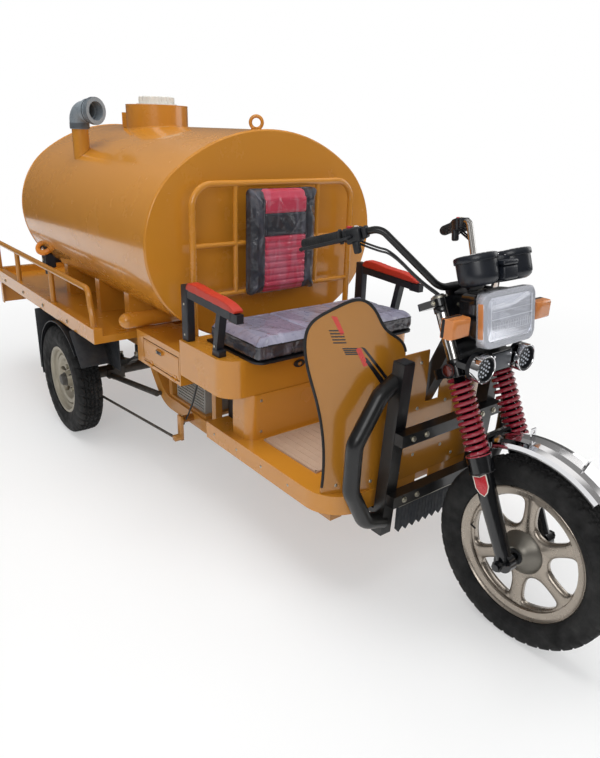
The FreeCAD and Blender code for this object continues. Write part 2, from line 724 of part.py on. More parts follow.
def leaf_spring():
    """Curved leaves clamped on the axle and hung from the frame by their eyes."""
    y0 = -FRAME_Y - LEAF_W / 2
    base = REAR_TYRE_R + LEAF_SEAT
    pieces = [box(-42, 42, -FRAME_Y - 30, -FRAME_Y + 30, base, base + 4 * LEAF_T + 16)]
    for i, half in enumerate(LEAF_HALF):
        low = base + LEAF_T * (3 - i) + 9
        rise = LEAF_RISE * (half / LEAF_HALF[0]) ** 2
        upper = Part.Arc(V(-half, y0, low + LEAF_T + rise), V(0, y0, low + LEAF_T),
                         V(half, y0, low + LEAF_T + rise))
        lower = Part.Arc(V(half, y0, low + rise), V(0, y0, low), V(-half, y0, low + rise))
        ends = [Part.makeLine(V(s * half, y0, low + rise), V(s * half, y0, low + LEAF_T + rise))
                for s in (-1, 1)]
        wire = Part.Wire([upper.toShape(), ends[1], lower.toShape(), ends[0]])
        pieces.append(Part.Face(wire).extrude(V(0, LEAF_W, 0)))
    eye_z = base + 3 * LEAF_T + 9 + LEAF_RISE + 5
    for s in (-1, 1):
        x = s * LEAF_HALF[0]
        pieces.append(cylinder(LEAF_EYE_R, (x, -FRAME_Y - 30, eye_z), (x, -FRAME_Y + 30, eye_z)))
        for side in (-30.0, 24.0):
            pieces.append(box(x - LEAF_EYE_R, x + LEAF_EYE_R, -FRAME_Y + side, -FRAME_Y + side + 6,
                              eye_z - 12, FRAME_LOW))
    return fuse(pieces)


def brake_rod():
    """Rod from the pedal's bell crank back to the axle's brake lever."""
    bell_low = LOW_FRAME_TOP - 112
    pieces = [tube([(-20, ROD_Y, 152), (LEVER_X, ROD_Y, bell_low + 12)], ROD_R),
              box(LEVER_X - 10, LEVER_X + 12, ROD_Y - 10, ROD_Y + 30, bell_low + 2, bell_low + 24),
              box(LEVER_X - 16, LEVER_X + 16, ROD_Y + 18, ROD_Y + 30, bell_low, LOW_FRAME_TOP - 2),
              cylinder(16, (LEVER_X, ROD_Y + 30, LOW_FRAME_TOP - 22),
                       (LEVER_X, -FRAME_Y - FRAME_W / 2, LOW_FRAME_TOP - 22)),
              box(-34, -8, ROD_Y - 10, ROD_Y + 10, 140, 166)]
    return fuse(pieces)


def mudguard():
    """Sheet arc over the rear tyre on a stay under the bed."""
    y0, y1 = GUARD_Y
    centre = (0, 0, REAR_TYRE_R)
    blade = turned([(y0, GUARD_R - SHEET), (y0, GUARD_R), (y1, GUARD_R), (y1, GUARD_R - SHEET)], centre,
                   GUARD_SWEEP)
    blade = turn(blade, GUARD_REAR, centre, (0, 1, 0))
    stay = box(-60, 60, y0 + 20, y0 + 90, REAR_TYRE_R + GUARD_R - SHEET, BED_LOW)
    return fuse([blade, stay])


# Seat tray with rounded front corners, open under the seat, and tool boxes with hinged doors

def seat_tray():
    tray = rounded_plate(TRAY_REAR_X, TRAY_FRONT_X, TRAY_HALF_W, TRAY_LOW, TRAY_TOP, TRAY_CORNER_R)
    hollow = rounded_plate(TRAY_REAR_X + SHEET, TRAY_FRONT_X - SHEET, TRAY_HALF_W - SHEET, TRAY_LOW - 1,
                           TRAY_TOP - SHEET, TRAY_CORNER_R - SHEET)
    mouth = box(TRAY_REAR_X + TRAY_OPEN_REAR, TRAY_FRONT_X - TRAY_OPEN_FRONT, -TRAY_OPEN_HALF_W,
                TRAY_OPEN_HALF_W, TRAY_TOP - SHEET - 1, TRAY_TOP + 1)
    return fuse([tray.cut(hollow).cut(mouth)] + lid_knuckles(KNUCKLE, False))


LID_PIN_X = CUSHION_REAR_X - HINGE_R - 2
LID_PIN_Z = TRAY_TOP + HINGE_R + CURVE_GAP


def lid_knuckles(step, on_lid):
    """Barrels of the seat lid's two hinges: the lid's, or those on the tray beside them."""
    pieces = []
    for s in (-1, 1):
        y0 = s * (LID_HINGE_Y + step)
        y1 = y0 + s * (KNUCKLE - CURVE_GAP)
        pieces.append(cylinder(HINGE_R, (LID_PIN_X, y0, LID_PIN_Z), (LID_PIN_X, y1, LID_PIN_Z)))
        if on_lid:
            pieces.append(box(LID_PIN_X, CUSHION_REAR_X + 4, y0, y1, LID_PIN_Z - 1, LID_PIN_Z + 1))
        else:
            pieces.append(box(LID_PIN_X - HINGE_R, LID_PIN_X + 1, y0, y1, TRAY_TOP - 1, LID_PIN_Z))
    return pieces


DOOR_X1 = TRAY_REAR_X - DOOR_BACK
DOOR_X0 = DOOR_X1 - DOOR_L
DOOR_Z0 = BOX_LOW + DOOR_RISE
DOOR_Z1 = DOOR_Z0 + DOOR_H
PIN_Y, PIN_Z = TRAY_HALF_W + HINGE_R, DOOR_Z0 - HINGE_R


def door_knuckles(shift, z0, z1):
    """Barrels along a tool door's lower edge, each with the leaf that joins it to its plate."""
    pieces = []
    for start in DOOR_HINGES:
        x = DOOR_X0 + start + shift
        pieces.append(cylinder(HINGE_R, (x, PIN_Y, PIN_Z), (x + KNUCKLE, PIN_Y, PIN_Z)))
        pieces.append(box(x, x + KNUCKLE, TRAY_HALF_W, TRAY_HALF_W + 2, z0, z1))
    return pieces


def tool_box():
    x0, x1 = BOX_REAR_X, TRAY_REAR_X - 2
    body = box(x0, x1, BOX_INNER_Y, TRAY_HALF_W, BOX_LOW, BOX_TOP)
    body = body.cut(box(x0 + SHEET, x1 - SHEET, BOX_INNER_Y + SHEET, TRAY_HALF_W - SHEET, BOX_LOW + SHEET,
                        BOX_TOP - SHEET))
    body = body.cut(box(DOOR_X0 - DOOR_GAP, DOOR_X1 + DOOR_GAP, TRAY_HALF_W - SHEET - 1, TRAY_HALF_W + 1,
                        DOOR_Z0 - DOOR_GAP, DOOR_Z1 + DOOR_GAP))
    return fuse([body] + door_knuckles(0, PIN_Z - 12, PIN_Z))


def tool_door():
    door = box(DOOR_X0, DOOR_X1, TRAY_HALF_W - SHEET, TRAY_HALF_W, DOOR_Z0, DOOR_Z1)
    catch_x = (DOOR_X0 + DOOR_X1) / 2.0
    catch = box(catch_x - 25, catch_x + 25, TRAY_HALF_W, TRAY_HALF_W + 8, DOOR_Z1 - 26, DOOR_Z1 - 12)
    return fuse([door, catch] + door_knuckles(KNUCKLE, PIN_Z, DOOR_Z0 + 12))


def battery_box():
    """Front casing under the seat, its outer corners rounded."""
    front = TRAY_FRONT_X + 6
    return rounded_plate(front - BATTERY_T, front, BATTERY_HALF_W, FLOOR_TOP, TRAY_LOW, 40)


def battery_pack():
    front = TRAY_FRONT_X + 6 - BATTERY_T - SHEET
    return box(front - PACK_L, front, -BATTERY_HALF_W + 64, BATTERY_HALF_W - 64, FLOOR_TOP,
               FLOOR_TOP + PACK_H)


def control_box():
    x1 = TRAY_REAR_X - 30
    z0 = LOW_FRAME_TOP + 12
    return box(x1 - CONTROL_L, x1, -FRAME_Y - 2, -FRAME_Y + 136, z0, z0 + CONTROL_H)


# Seat lid with its cushion, and the backrest on the rack

def seat_base():
    plate = rounded_plate(CUSHION_REAR_X, CUSHION_FRONT_X - 6, CUSHION_HALF_W - 6, TRAY_TOP,
                          TRAY_TOP + LID_BASE_T, 40)
    return fuse([plate] + lid_knuckles(0, True))


def seat_cushion():
    block = rounded_plate(CUSHION_REAR_X, CUSHION_FRONT_X, CUSHION_HALF_W, TRAY_TOP + LID_BASE_T,
                          CUSHION_TOP, 45)
    return rounded(block, 22.0, lambda b: abs(b.ZMin - CUSHION_TOP) < 0.01)


def backrest():
    x0 = RACK_X + RACK_BAR_R + CURVE_GAP
    block = box(x0, x0 + BACK_T, -BACK_HALF_W, BACK_HALF_W, BACK_LOW, BACK_TOP)
    return rounded(block, 16.0, lambda b: b.XMax > x0 + BACK_T - 0.01)


def seat_rack():
    """Bent tube behind the seat, standing on the tool boxes, with its bars."""
    side = RACK_HALF_W - RACK_R
    top = RACK_TOP - RACK_R
    pieces = [tube([(RACK_X, -side, BOX_TOP), (RACK_X, -side, top), (RACK_X, side, top),
                    (RACK_X, side, BOX_TOP)],
                   RACK_R, RACK_BEND)]
    for z in RACK_BARS_Z:
        pieces.append(cylinder(RACK_BAR_R, (RACK_X, -side, z), (RACK_X, side, z)))
    for s in (-1, 1):
        pieces.append(cylinder(RACK_BAR_R, (RACK_X, s * RACK_UPRIGHT_Y, RACK_BARS_Z[0]),
                               (RACK_X, s * RACK_UPRIGHT_Y, top)))
    return fuse(pieces)


def armrest_frame():
    """Moulded arm on two legs that stand on the tray."""
    y, z = ARM_Y, TRAY_TOP + ARM_RISE
    x0, x1 = TRAY_REAR_X + 2, TRAY_REAR_X + ARM_L
    bar = square_bar([(x0 + 18, y, z), (x0 + 162, y, z - 7), (x1 - 42, y, z - 17)], ARM_BAR, ARM_BAR, 60)
    leg = square_bar([(x0 + 228, y, TRAY_TOP - 20), (x0 + 268, y, z - 15)], ARM_BAR, ARM_BAR - 4)
    leg = leg.cut(box(x0 + 180, x0 + 280, y - 30, y + 30, TRAY_TOP - 60, TRAY_TOP))
    return fuse([box(x0, x0 + 36, y - 15, y + 15, TRAY_TOP, z + 27), bar, leg,
                 box(x1 - 52, x1, y - 14, y + 14, z - 37, z - 5)])


def armrest_pad():
    """Red pad, humped at the back and thinned towards the front."""
    y, z, x = ARM_Y - 20, TRAY_TOP + ARM_RISE + 8, TRAY_REAR_X
    top = smooth_edge([(x + 44, y, z + 6.5), (x + 56, y, z + 32), (x + 94, y, z + 38), (x + 214, y, z + 27),
                       (x + 334, y, z + 16), (x + 376, y, z)])
    low = Part.makePolygon([V(x + 376, y, z), V(x + 376, y, z - 9.5), V(x + 344, y, z - 9.5),
                            V(x + 164, y, z + 0.5), V(x + 44, y, z + 6.5)])
    return Part.Face(Part.Wire([top] + low.Edges)).extrude(V(0, 40, 0))


# Floor: folded sheet with rounded front corners, and its mat

def floor_pan():
    pan = rounded_plate(FLOOR_REAR_X, FLOOR_FRONT_X, FLOOR_HALF_W, SILL_LOW, FLOOR_TOP, FLOOR_CORNER_R)
    under = rounded_plate(FLOOR_REAR_X - 10, FLOOR_FRONT_X - SHEET, FLOOR_HALF_W - SHEET, SILL_LOW - 1,
                          FLOOR_TOP - SHEET, FLOOR_CORNER_R - SHEET)
    slot = box(SHIELD_X - 135, SHIELD_X + 20, -SLOT_HALF_W, SLOT_HALF_W, SILL_LOW - 2, FLOOR_TOP + 1)
    return pan.cut(under).cut(slot)


def floor_mat():
    return box(TRAY_FRONT_X + 24, SHIELD_X - 195, -330, 330, FLOOR_TOP, FLOOR_TOP + MAT_T)


# Leg shield: flat middle with two swept wings, open for the frame's neck

def leg_shield():
    def front_x(y):
        return SHIELD_X - SHIELD_SWEEP * max(0.0, y - SHIELD_MID_W) ** 2

    def back_x(y):
        slope = 2 * SHIELD_SWEEP * (y - SHIELD_MID_W)
        return front_x(y) - SHIELD_T * math.sqrt(1 + slope ** 2)

    reach = [SHIELD_MID_W + (WING_HALF_W - SHIELD_MID_W) * i / 6.0 for i in range(7)]
    front = [(front_x(y), -y, FLOOR_TOP) for y in reach]
    back = [(back_x(y), -y, FLOOR_TOP) for y in reach]
    plan = Part.Wire([smooth_edge(front), Part.makeLine(V(*front[-1]), V(*back[-1])), smooth_edge(back[::-1]),
                      Part.makeLine(V(*back[0]), V(*front[0]))])
    band = Part.Face(plan).extrude(V(0, 0, SHIELD_MID_H + 260))
    # Side view of a wing: distance out and height over the floor, from the neck around to the foot
    edge = [(150, 456), (172, 498), (237, 547), (284, 618), (318, 641), (388, 618), (443, 572), (456, 492),
            (426, 336), (403, 197), (398, 106), (402, 0)]
    edge = [(SHIELD_X - 300, -y, FLOOR_TOP + z) for y, z in edge]
    foot = (SHIELD_X - 300, -SHIELD_MID_W, FLOOR_TOP)
    outline = Part.Wire([smooth_edge(edge), Part.makeLine(V(*edge[-1]), V(*foot)),
                         Part.makeLine(V(*foot), V(*edge[0]))])
    wing = band.common(Part.Face(outline).extrude(V(400, 0, 0)))
    middle = box(SHIELD_X - SHIELD_T, SHIELD_X, -SHIELD_MID_W, SHIELD_MID_W, FLOOR_TOP,
                 FLOOR_TOP + SHIELD_MID_H)
    middle = middle.cut(box(SHIELD_X - 50, SHIELD_X + 50, -SLOT_HALF_W, SLOT_HALF_W, FLOOR_TOP + SLOT_RISE,
                            FLOOR_TOP + SHIELD_MID_H + 1))
    return fuse([wing, mirror(wing), middle])


# Bumper: square posts, two cross bars, bowed guard tubes and brackets to the frame

def bumper():
    foot_x, foot_z = SHIELD_X + POST_FOOT[0], POST_FOOT[1]
    head_x, head_z = SHIELD_X + POST_HEAD[0], POST_HEAD[1]
    slope = (head_x - foot_x) / (head_z - foot_z)
    pieces = []
    for s in (-1, 1):
        y = s * BUMPER_Y
        pieces.append(square_bar([(foot_x, y, foot_z), (head_x, y, head_z)], POST_SIZE, POST_SIZE))
        bow = [(BUMPER_Y + 5, head_z - 62), (BUMPER_Y + 70, head_z - 96), (BUMPER_Y + 160, head_z - 240),
               (BUMPER_Y + 160, foot_z + 206), (BUMPER_Y + 88, foot_z + 74), (BUMPER_Y + 5, foot_z + 46)]
        pieces.append(tube([(foot_x + 6 + slope * (z - foot_z) * 0.4, s * out, z) for out, z in bow],
                           GUARD_TUBE_R, 58))
        pieces.append(box(FRAME_FRONT_X - 20, foot_x + 4, y - 14, y + 14, LOW_FRAME_LOW + 10,
                          LOW_FRAME_LOW + 30))
    for z in CROSS_BAR_Z:
        x = foot_x + slope * (z - foot_z) + 18
        pieces.append(box(x, x + 40, -BUMPER_Y - 22, BUMPER_Y + 22, z - 20, z + 20))
    return fuse(pieces)


def mud_flap():
    """Rubber flap with a toothed lower edge, hung on the lower cross bar."""
    x = SHIELD_X + POST_FOOT[0] + 38
    pitch = 2 * FLAP_HALF_W / FLAP_TEETH
    points = [(x, -FLAP_HALF_W, FLAP_LOW), (x, -FLAP_HALF_W, FLAP_TOP), (x, FLAP_HALF_W, FLAP_TOP),
              (x, FLAP_HALF_W, FLAP_LOW)]
    for i in range(FLAP_TEETH):
        y = FLAP_HALF_W - pitch * i
        points.append((x, y - pitch / 2, FLAP_LOW - TOOTH_H))
        if i < FLAP_TEETH - 1:
            points.append((x, y - pitch, FLAP_LOW))
    return prism(points, (SHEET + 1, 0, 0))


# Front wheel: cast wheel with waisted spokes, its tyre, and the axle that the fork holds

FRONT = (AX, 0.0, AZ)


def window():
    """Opening between two spokes, drawn about the middle direction and turned into place."""
    half = math.pi / SPOKES
    inner, outer = HUB_R + 12, FRONT_RIM_R - 41

    def beside(radius, offset):
        """Point at a radius along the spoke below the window, offset into the window."""
        x = radius * math.cos(-half) - offset * math.sin(-half)
        return (x, radius * math.sin(-half) + offset * math.cos(-half))

    waist = beside(HUB_R + 46, SPOKE_WAIST / 2)
    corner = beside(outer - 8, SPOKE_WAIST / 2 + 5)
    points = [(inner, 0), waist, corner]
    low = [V(AX + u, -SPOKE_T, AZ + v) for u, v in points]
    high = [V(AX + u, -SPOKE_T, AZ - v) for u, v in points]
    edges = [Part.makeLine(low[0], low[1]), Part.makeLine(low[1], low[2]),
             Part.Arc(low[2], V(AX + outer + 3, -SPOKE_T, AZ), high[2]).toShape(),
             Part.makeLine(high[2], high[1]), Part.makeLine(high[1], high[0])]
    solid = Part.Face(Part.Wire(edges)).extrude(V(0, 2 * SPOKE_T, 0))
    return rounded(solid, 13.0, lambda b: b.YLength > 2 * SPOKE_T - 1)


def front_rim():
    h = FRONT_RIM_W / 2.0
    well = FRONT_RIM_R - 21.5
    outer = [(14, well), (h - 9, FRONT_RIM_R - 11.5), (h - 7, FRONT_RIM_R), (h, FRONT_RIM_R)]
    inner = [(16, well - RIM_WALL), (h - 8, well - 8), (h, FRONT_RIM_R - RIM_WALL)]
    rim = turned(mirrored_profile(outer) + mirrored_profile(inner)[::-1], FRONT)
    n = HUB_W / 2.0
    hub_half = [(24, HUB_R), (n - 8, HUB_R - 8), (n, 30)]
    hub = turned([(-n, AXLE_R)] + mirrored_profile(hub_half) + [(n, AXLE_R)], FRONT)
    plate = cylinder(well - 6, (AX, -SPOKE_T / 2, AZ), (AX, SPOKE_T / 2, AZ))
    opening = window()
    for i in range(SPOKES):
        plate = plate.cut(turn(opening, 360.0 * (i + 0.5) / SPOKES - 90.0, FRONT, (0, 1, 0)))
    bore = cylinder(AXLE_R + RUN_FIT, (AX, -HUB_W, AZ), (AX, HUB_W, AZ))
    return fuse([rim, hub, plate]).cut(bore)


def tyre(centre, radius, half_w, seat_r, seat_half, shoulder):
    """Faceted tyre with straight-edged flanks, seated outside its rim and light in faces."""
    rise = radius - seat_r
    half = [(0.3 * half_w, radius), (half_w - shoulder, radius - 0.2 * rise), (half_w, radius - 0.55 * rise),
            (seat_half + 2, seat_r)]
    return facet_ring(mirrored_profile(half), centre, TYRE_SIDES)


def front_tyre():
    return tyre(FRONT, FRONT_TYRE_R, FRONT_TYRE_W / 2, FRONT_RIM_R + CURVE_GAP, FRONT_RIM_W / 2, 10.0)


def front_axle():
    half = AXLE_W / 2.0
    pieces = [cylinder(AXLE_R, (AX, -half, AZ), (AX, half, AZ))]
    for s in (-1, 1):
        pieces.append(cylinder(AXLE_R + 6, (AX, s * (half - 6), AZ), (AX, s * (half + 8), AZ)))
    return fuse(pieces)


# Rear wheels: pressed steel discs with round holes and bolts

def rear_rim(sign):
    centre = (0.0, sign * HALF_TRACK, REAR_TYRE_R)
    h, r = REAR_RIM_W / 2.0, REAR_RIM_R

    def place(profile):
        return turned([(a * sign, radius) for a, radius in profile], centre)

    ring = place([(-h, r), (-h + 9, r), (-h + 12, r - 14), (-20, r - 17), (-14, r - 31), (20, r - 31),
                  (26, r - 17), (h - 12, r - 14), (h - 9, r), (h, r), (h, r - 13), (h - 9, r - 19),
                  (30, r - 22), (24, r - 36), (-18, r - 36), (-24, r - 22), (-h + 9, r - 19), (-h, r - 13)])
    disc = place([(2, SPINDLE_R + 8), (2, 78), (10, 92), (24, 104), (28, 122), (20, 134), (14, 134),
                  (20, 122),
                  (17, 107), (4, 97), (-5, 82), (-5, SPINDLE_R + 8)])
    bore = SPINDLE_R + RUN_FIT
    hub = place([(-72, bore), (-72, 84), (-60, 84), (-52, 50), (12, 40), (34, 34), (34, 12), (30, 0), (12, 0),
                 (12, bore)])
    solid = fuse([ring, disc, hub])
    for i in range(DISC_HOLES):
        hole = cylinder(DISC_HOLE_R, (0, centre[1] - 60, REAR_TYRE_R + 88),
                        (0, centre[1] + 60, REAR_TYRE_R + 88))
        solid = solid.cut(turn(hole, 360.0 * i / DISC_HOLES, centre, (0, 1, 0)))
        bolt = cylinder(WHEEL_BOLT_R, (0, centre[1] - 10 * sign, REAR_TYRE_R + 62),
                        (0, centre[1] + 16 * sign, REAR_TYRE_R + 62))
        solid = solid.fuse(turn(bolt, 360.0 * (i + 0.5) / DISC_HOLES, centre, (0, 1, 0)))
    return solid.removeSplitter()


def rear_tyre(sign):
    return tyre((0.0, sign * HALF_TRACK, REAR_TYRE_R), REAR_TYRE_R, REAR_TYRE_W / 2, REAR_RIM_R + CURVE_GAP,
                REAR_RIM_W / 2, 11.0)


# Fork, drawn upright over the axle and then leaned back

def fork_lowers():
    """Sliders with spring cups, and the bridge over the fender that joins them."""
    inner = FENDER_HALF_W + ARM_GAP
    bridge = FENDER_R + 3 + CURVE_GAP
    pieces = [box(AX - 14, AX + 14, -inner - ARM_T, inner + ARM_T, AZ + bridge, AZ + bridge + 9)]
    for s in (-1, 1):
        y = s * LEG_Y
        pieces.append(cone(24, 31, (AX, y, AZ + 10), (AX, y, AZ + CUP_LOW + 10)))
        pieces.append(cylinder(CUP_R, (AX, y, AZ + CUP_LOW), (AX, y, AZ + CUP_TOP)))
        pieces.append(cylinder(30, (AX, y - 14, AZ), (AX, y + 14, AZ)))
        pieces.append(box(AX - 14, AX + 14, s * inner, s * (inner + ARM_T), AZ + CUP_LOW + 6,
                          AZ + bridge + 9))
        pieces.append(box(AX - 14, AX + 14, s * inner, s * (LEG_Y - 26), AZ + CUP_LOW + 6, AZ + CUP_TOP - 2))
    lowers = fuse(pieces)
    for s in (-1, 1):
        y = s * LEG_Y
        lowers = lowers.cut(cylinder(AXLE_R + RUN_FIT, (AX, y - 40, AZ), (AX, y + 40, AZ)))
        lowers = lowers.cut(cylinder(STANCHION_R + CURVE_GAP, (AX, y, AZ + CUP_TOP - 30),
                                     (AX, y, AZ + CUP_TOP + 1)))
    return lean(lowers)


def fork_stanchion():
    y = -LEG_Y
    rod = cylinder(STANCHION_R, (AX, y, AZ + CUP_TOP - 30 + CURVE_GAP), (AX, y, AZ + UPPER_CLAMP_UP + 16))
    seat = cylinder(SPRING_R + 5, (AX, y, AZ + SPRING_TOP), (AX, y, AZ + LOWER_CLAMP_UP - LOWER_CLAMP_T / 2))
    return lean(fuse([rod, seat]))


def fork_spring():
    low = AZ + CUP_TOP + WIRE_R + CURVE_GAP
    height = SPRING_TOP - CUP_TOP - 2 * (WIRE_R + CURVE_GAP)
    helix = Part.makeHelix(height / SPRING_TURNS, height, SPRING_R)
    helix.translate(V(AX, -LEG_Y, low))
    section = Part.makePolygon([V(AX + SPRING_R + WIRE_R * math.cos(a), -LEG_Y, low + WIRE_R * math.sin(a))
                                for a in [math.radians(30 + 60 * i) for i in range(7)]])
    return lean(Part.Wire(helix).makePipeShell([section], True, True))


def yoke(up, thick):
    z0, z1 = AZ + up - thick / 2, AZ + up + thick / 2
    plate = rounded(box(AX - HEAD_OFFSET - 34, AX + CLAMP_FRONT, -LEG_Y - CLAMP_SIDE, LEG_Y + CLAMP_SIDE,
                        z0, z1),
                    22.0, lambda b: b.ZLength > thick - 0.1 and b.XLength < 0.01)
    for s in (-1, 1):
        plate = plate.cut(cylinder(STANCHION_R + CURVE_GAP, (AX, s * LEG_Y, z0 - 1), (AX, s * LEG_Y, z1 + 1)))
    return plate


def fork_yokes():
    """Lower and upper clamps on the stem."""
    stem = cylinder(STEM_R, (AX - HEAD_OFFSET, 0, AZ + LOWER_CLAMP_UP),
                    (AX - HEAD_OFFSET, 0, AZ + UPPER_CLAMP_UP))
    return lean(fuse([yoke(LOWER_CLAMP_UP, LOWER_CLAMP_T), yoke(UPPER_CLAMP_UP, UPPER_CLAMP_T), stem]))


def front_fender():
    """Bowed blade over the tyre with a rolled edge and two lugs on its crown."""
    half = [(0.34, 3), (0.72, -1), (0.95, -10), (1.0, -26)]
    inner = [(0.34, 0), (0.7, -4), (0.89, -12), (0.95, -26)]
    outline = [(a * FENDER_HALF_W, FENDER_R + r)
               for a, r in mirrored_profile(half) + mirrored_profile(inner)[::-1]]
    pieces = [turn(turned(outline, FRONT, FENDER_SWEEP), FENDER_FRONT, FRONT, (0, 1, 0))]
    for degrees in FENDER_LUGS:
        lug = box(AX - 2, AX + 2, -11, 11, AZ + FENDER_R, AZ + FENDER_R + 34)
        lug = lug.cut(cylinder(5, (AX - 9, 0, AZ + FENDER_R + 23), (AX + 9, 0, AZ + FENDER_R + 23)))
        pieces.append(turn(lug, degrees, FRONT, (0, 1, 0)))
    return fuse(pieces)


# Headlamp: shell with a bezel round the glass, tilted up a little

def lamp_block(back, front, half_w, half_h, radius):
    """Block between two distances ahead of the lamp's face, its long edges rounded."""
    block = box(LAMP_X + back, LAMP_X + front, -half_w, half_w, LAMP_Z - half_h, LAMP_Z + half_h)
    return rounded(block, radius, lambda b: b.XLength > (front - back) - 0.1)


def headlamp_shell():
    shell = fuse([lamp_block(-LAMP_DEPTH, -12, LAMP_HALF_W, LAMP_HALF_H, 32),
                  lamp_block(-BEZEL_T, 0, LAMP_HALF_W + BEZEL, LAMP_HALF_H + 9, 34)])
    return tilt(shell.cut(lamp_block(-34, 1, LAMP_HALF_W - 6, LAMP_HALF_H - 7, 26)))


def headlamp_glass():
    return tilt(lamp_block(-34, 8, LAMP_HALF_W - 6 - CURVE_GAP, LAMP_HALF_H - 7 - CURVE_GAP, 26))


# Bracket in front of the fork that carries all the lamps

SPOT_Z = LAMP_Z - SPOT_DROP
SPOT_BACK = LAMP_X - 30.0
SIGNAL_Z = LAMP_Z + SIGNAL_RISE
SIGNAL_BACK = LAMP_X - 58.0


def lamp_bracket():
    face_y = SIGNAL_Y - SIGNAL_HALF_W
    plate = box(AX + CLAMP_FRONT, AX + CLAMP_FRONT + BRACKET_T, -112, 112, AZ + LOWER_CLAMP_UP - 10,
                AZ + UPPER_FACE_UP)
    pieces = [lean(plate), box(SPOT_BACK - 42, SPOT_BACK, -130, 130, SPOT_Z - 9, SPOT_Z + 9),
              box(SPOT_BACK, SPOT_BACK + 20, -49, 49, SPOT_Z - 26, SPOT_Z + 34)]
    for s in (-1, 1):
        pieces.append(tilt(box(LAMP_X - 140, LAMP_X - LAMP_DEPTH, s * 40, s * 60, LAMP_Z - 32, LAMP_Z - 4)))
        stalk = cylinder(STALK_R, (LAMP_X - 136, s * 92, LAMP_Z - 12),
                         (LAMP_X - 36, s * (face_y + 10), SIGNAL_Z))
        pieces.append(stalk.cut(box(LAMP_X - 150, LAMP_X, s * face_y, s * (face_y + 40), LAMP_Z - 80,
                                    LAMP_Z + 80)))
    behind = lean(box(AX - 120, AX + CLAMP_FRONT, -200, 200, AZ + LOWER_CLAMP_UP - 60,
                      AZ + UPPER_CLAMP_UP + 40))
    return fuse(pieces).cut(behind)


def spot_lamp():
    """Round lamp, dished behind its bezel."""
    y, front = -SPOT_Y, SPOT_BACK + SPOT_T
    dish = cylinder(SPOT_R - 8, (front - 9, y, SPOT_Z), (front + 1, y, SPOT_Z))
    return cylinder(SPOT_R, (SPOT_BACK, y, SPOT_Z), (front, y, SPOT_Z)).cut(dish)


def amber_lamps():
    """Turn lamps on stalks, and round reflectors on the lower yoke's ends."""
    front = SIGNAL_BACK + SIGNAL_T
    body = box(SIGNAL_BACK, front, -SIGNAL_Y - SIGNAL_HALF_W, -SIGNAL_Y + SIGNAL_HALF_W,
               SIGNAL_Z - SIGNAL_H / 2, SIGNAL_Z + SIGNAL_H / 2)
    body = rounded(body, 14.0, lambda b: b.XMin > front - 0.1)
    side = LEG_Y + CLAMP_SIDE
    at_up = LOWER_CLAMP_UP + LOWER_CLAMP_T / 2 - 8.5
    reflector = cylinder(REFLECTOR_R, fork_point(at_up, -side, -4),
                         fork_point(at_up, -side - REFLECTOR_T, -4))
    return Part.makeCompound([body, mirror(body), reflector, mirror(reflector)])


# Instruments: two cups with rounded bottoms and a lip, a box between them, facing back and up

def pod():
    foot = (CROWN_X + POD_FOOT[0], -POD_Y, CROWN_Z + POD_FOOT[1])
    wall = Part.makePolygon([V(foot[0] + r, foot[1], foot[2] + h) for r, h in
                             ((POD_R, POD_H - 26), (POD_R, POD_H - 20), (POD_LIP_R, POD_H - 18),
                              (POD_LIP_R, POD_H - 3),
                              (POD_LIP_R - 4, POD_H), (POD_LIP_R - 10, POD_H), (POD_LIP_R - 12, POD_H - 7),
                              (0, POD_H - 7), (0, 0), (POD_R - 34, 0))])
    floor_end = V(foot[0] + POD_R - 34, foot[1], foot[2])
    wall_low = V(foot[0] + POD_R, foot[1], foot[2] + POD_H - 26)
    curve = smooth_edge([tuple(floor_end), (foot[0] + POD_R - 14, foot[1], foot[2] + 14),
                         (foot[0] + POD_R - 4, foot[1], foot[2] + 34), tuple(wall_low)])
    cup = Part.Face(Part.Wire(wall.Edges + [curve])).revolve(V(*foot), V(0, 0, 1), 360.0)
    return turn(cup, -POD_LEAN, foot, (0, 1, 0))


def gauge_pods():
    one = pod()
    x, z = CROWN_X + POD_FOOT[0], CROWN_Z + POD_FOOT[1]
    middle = rounded(box(x - 55, x + 10, -POD_BOX_HALF_W, POD_BOX_HALF_W, z + 3, z + 78), 12.0,
                     lambda b: b.YLength > 2 * POD_BOX_HALF_W - 0.1 and b.ZMin > z + 70)
    arm = square_bar([fork_point(UPPER_CLAMP_UP, 0, 13), (x - 35, 0, z + 25)], 72, 16)
    arm = arm.cut(lean(box(AX - 80, AX + 60, -50, 50, AZ + UPPER_CLAMP_UP - 40, AZ + UPPER_FACE_UP)))
    return fuse([one, mirror(one), middle, arm])


# Handlebar with grips, switches and levers

def handlebar():
    half = tube(BAR, BAR_R, 46)
    riser = lean(box(AX - 26, AX + 1, -POD_BOX_HALF_W, POD_BOX_HALF_W, AZ + UPPER_FACE_UP,
                     AZ + UPPER_FACE_UP + RISER_H))
    return fuse([half, mirror(half), riser])


def along_grip(t):
    """Point on the bar's last run, t from its end towards the middle."""
    end, bend = V(*BAR[3]), V(*BAR[2])
    return tuple(end + (bend - end).normalize() * t)


def grip():
    return cylinder(GRIP_R, along_grip(GRIP_L), along_grip(-6)).cut(
        cylinder(BAR_R + CURVE_GAP, along_grip(GRIP_L + 2), along_grip(-CURVE_GAP)))


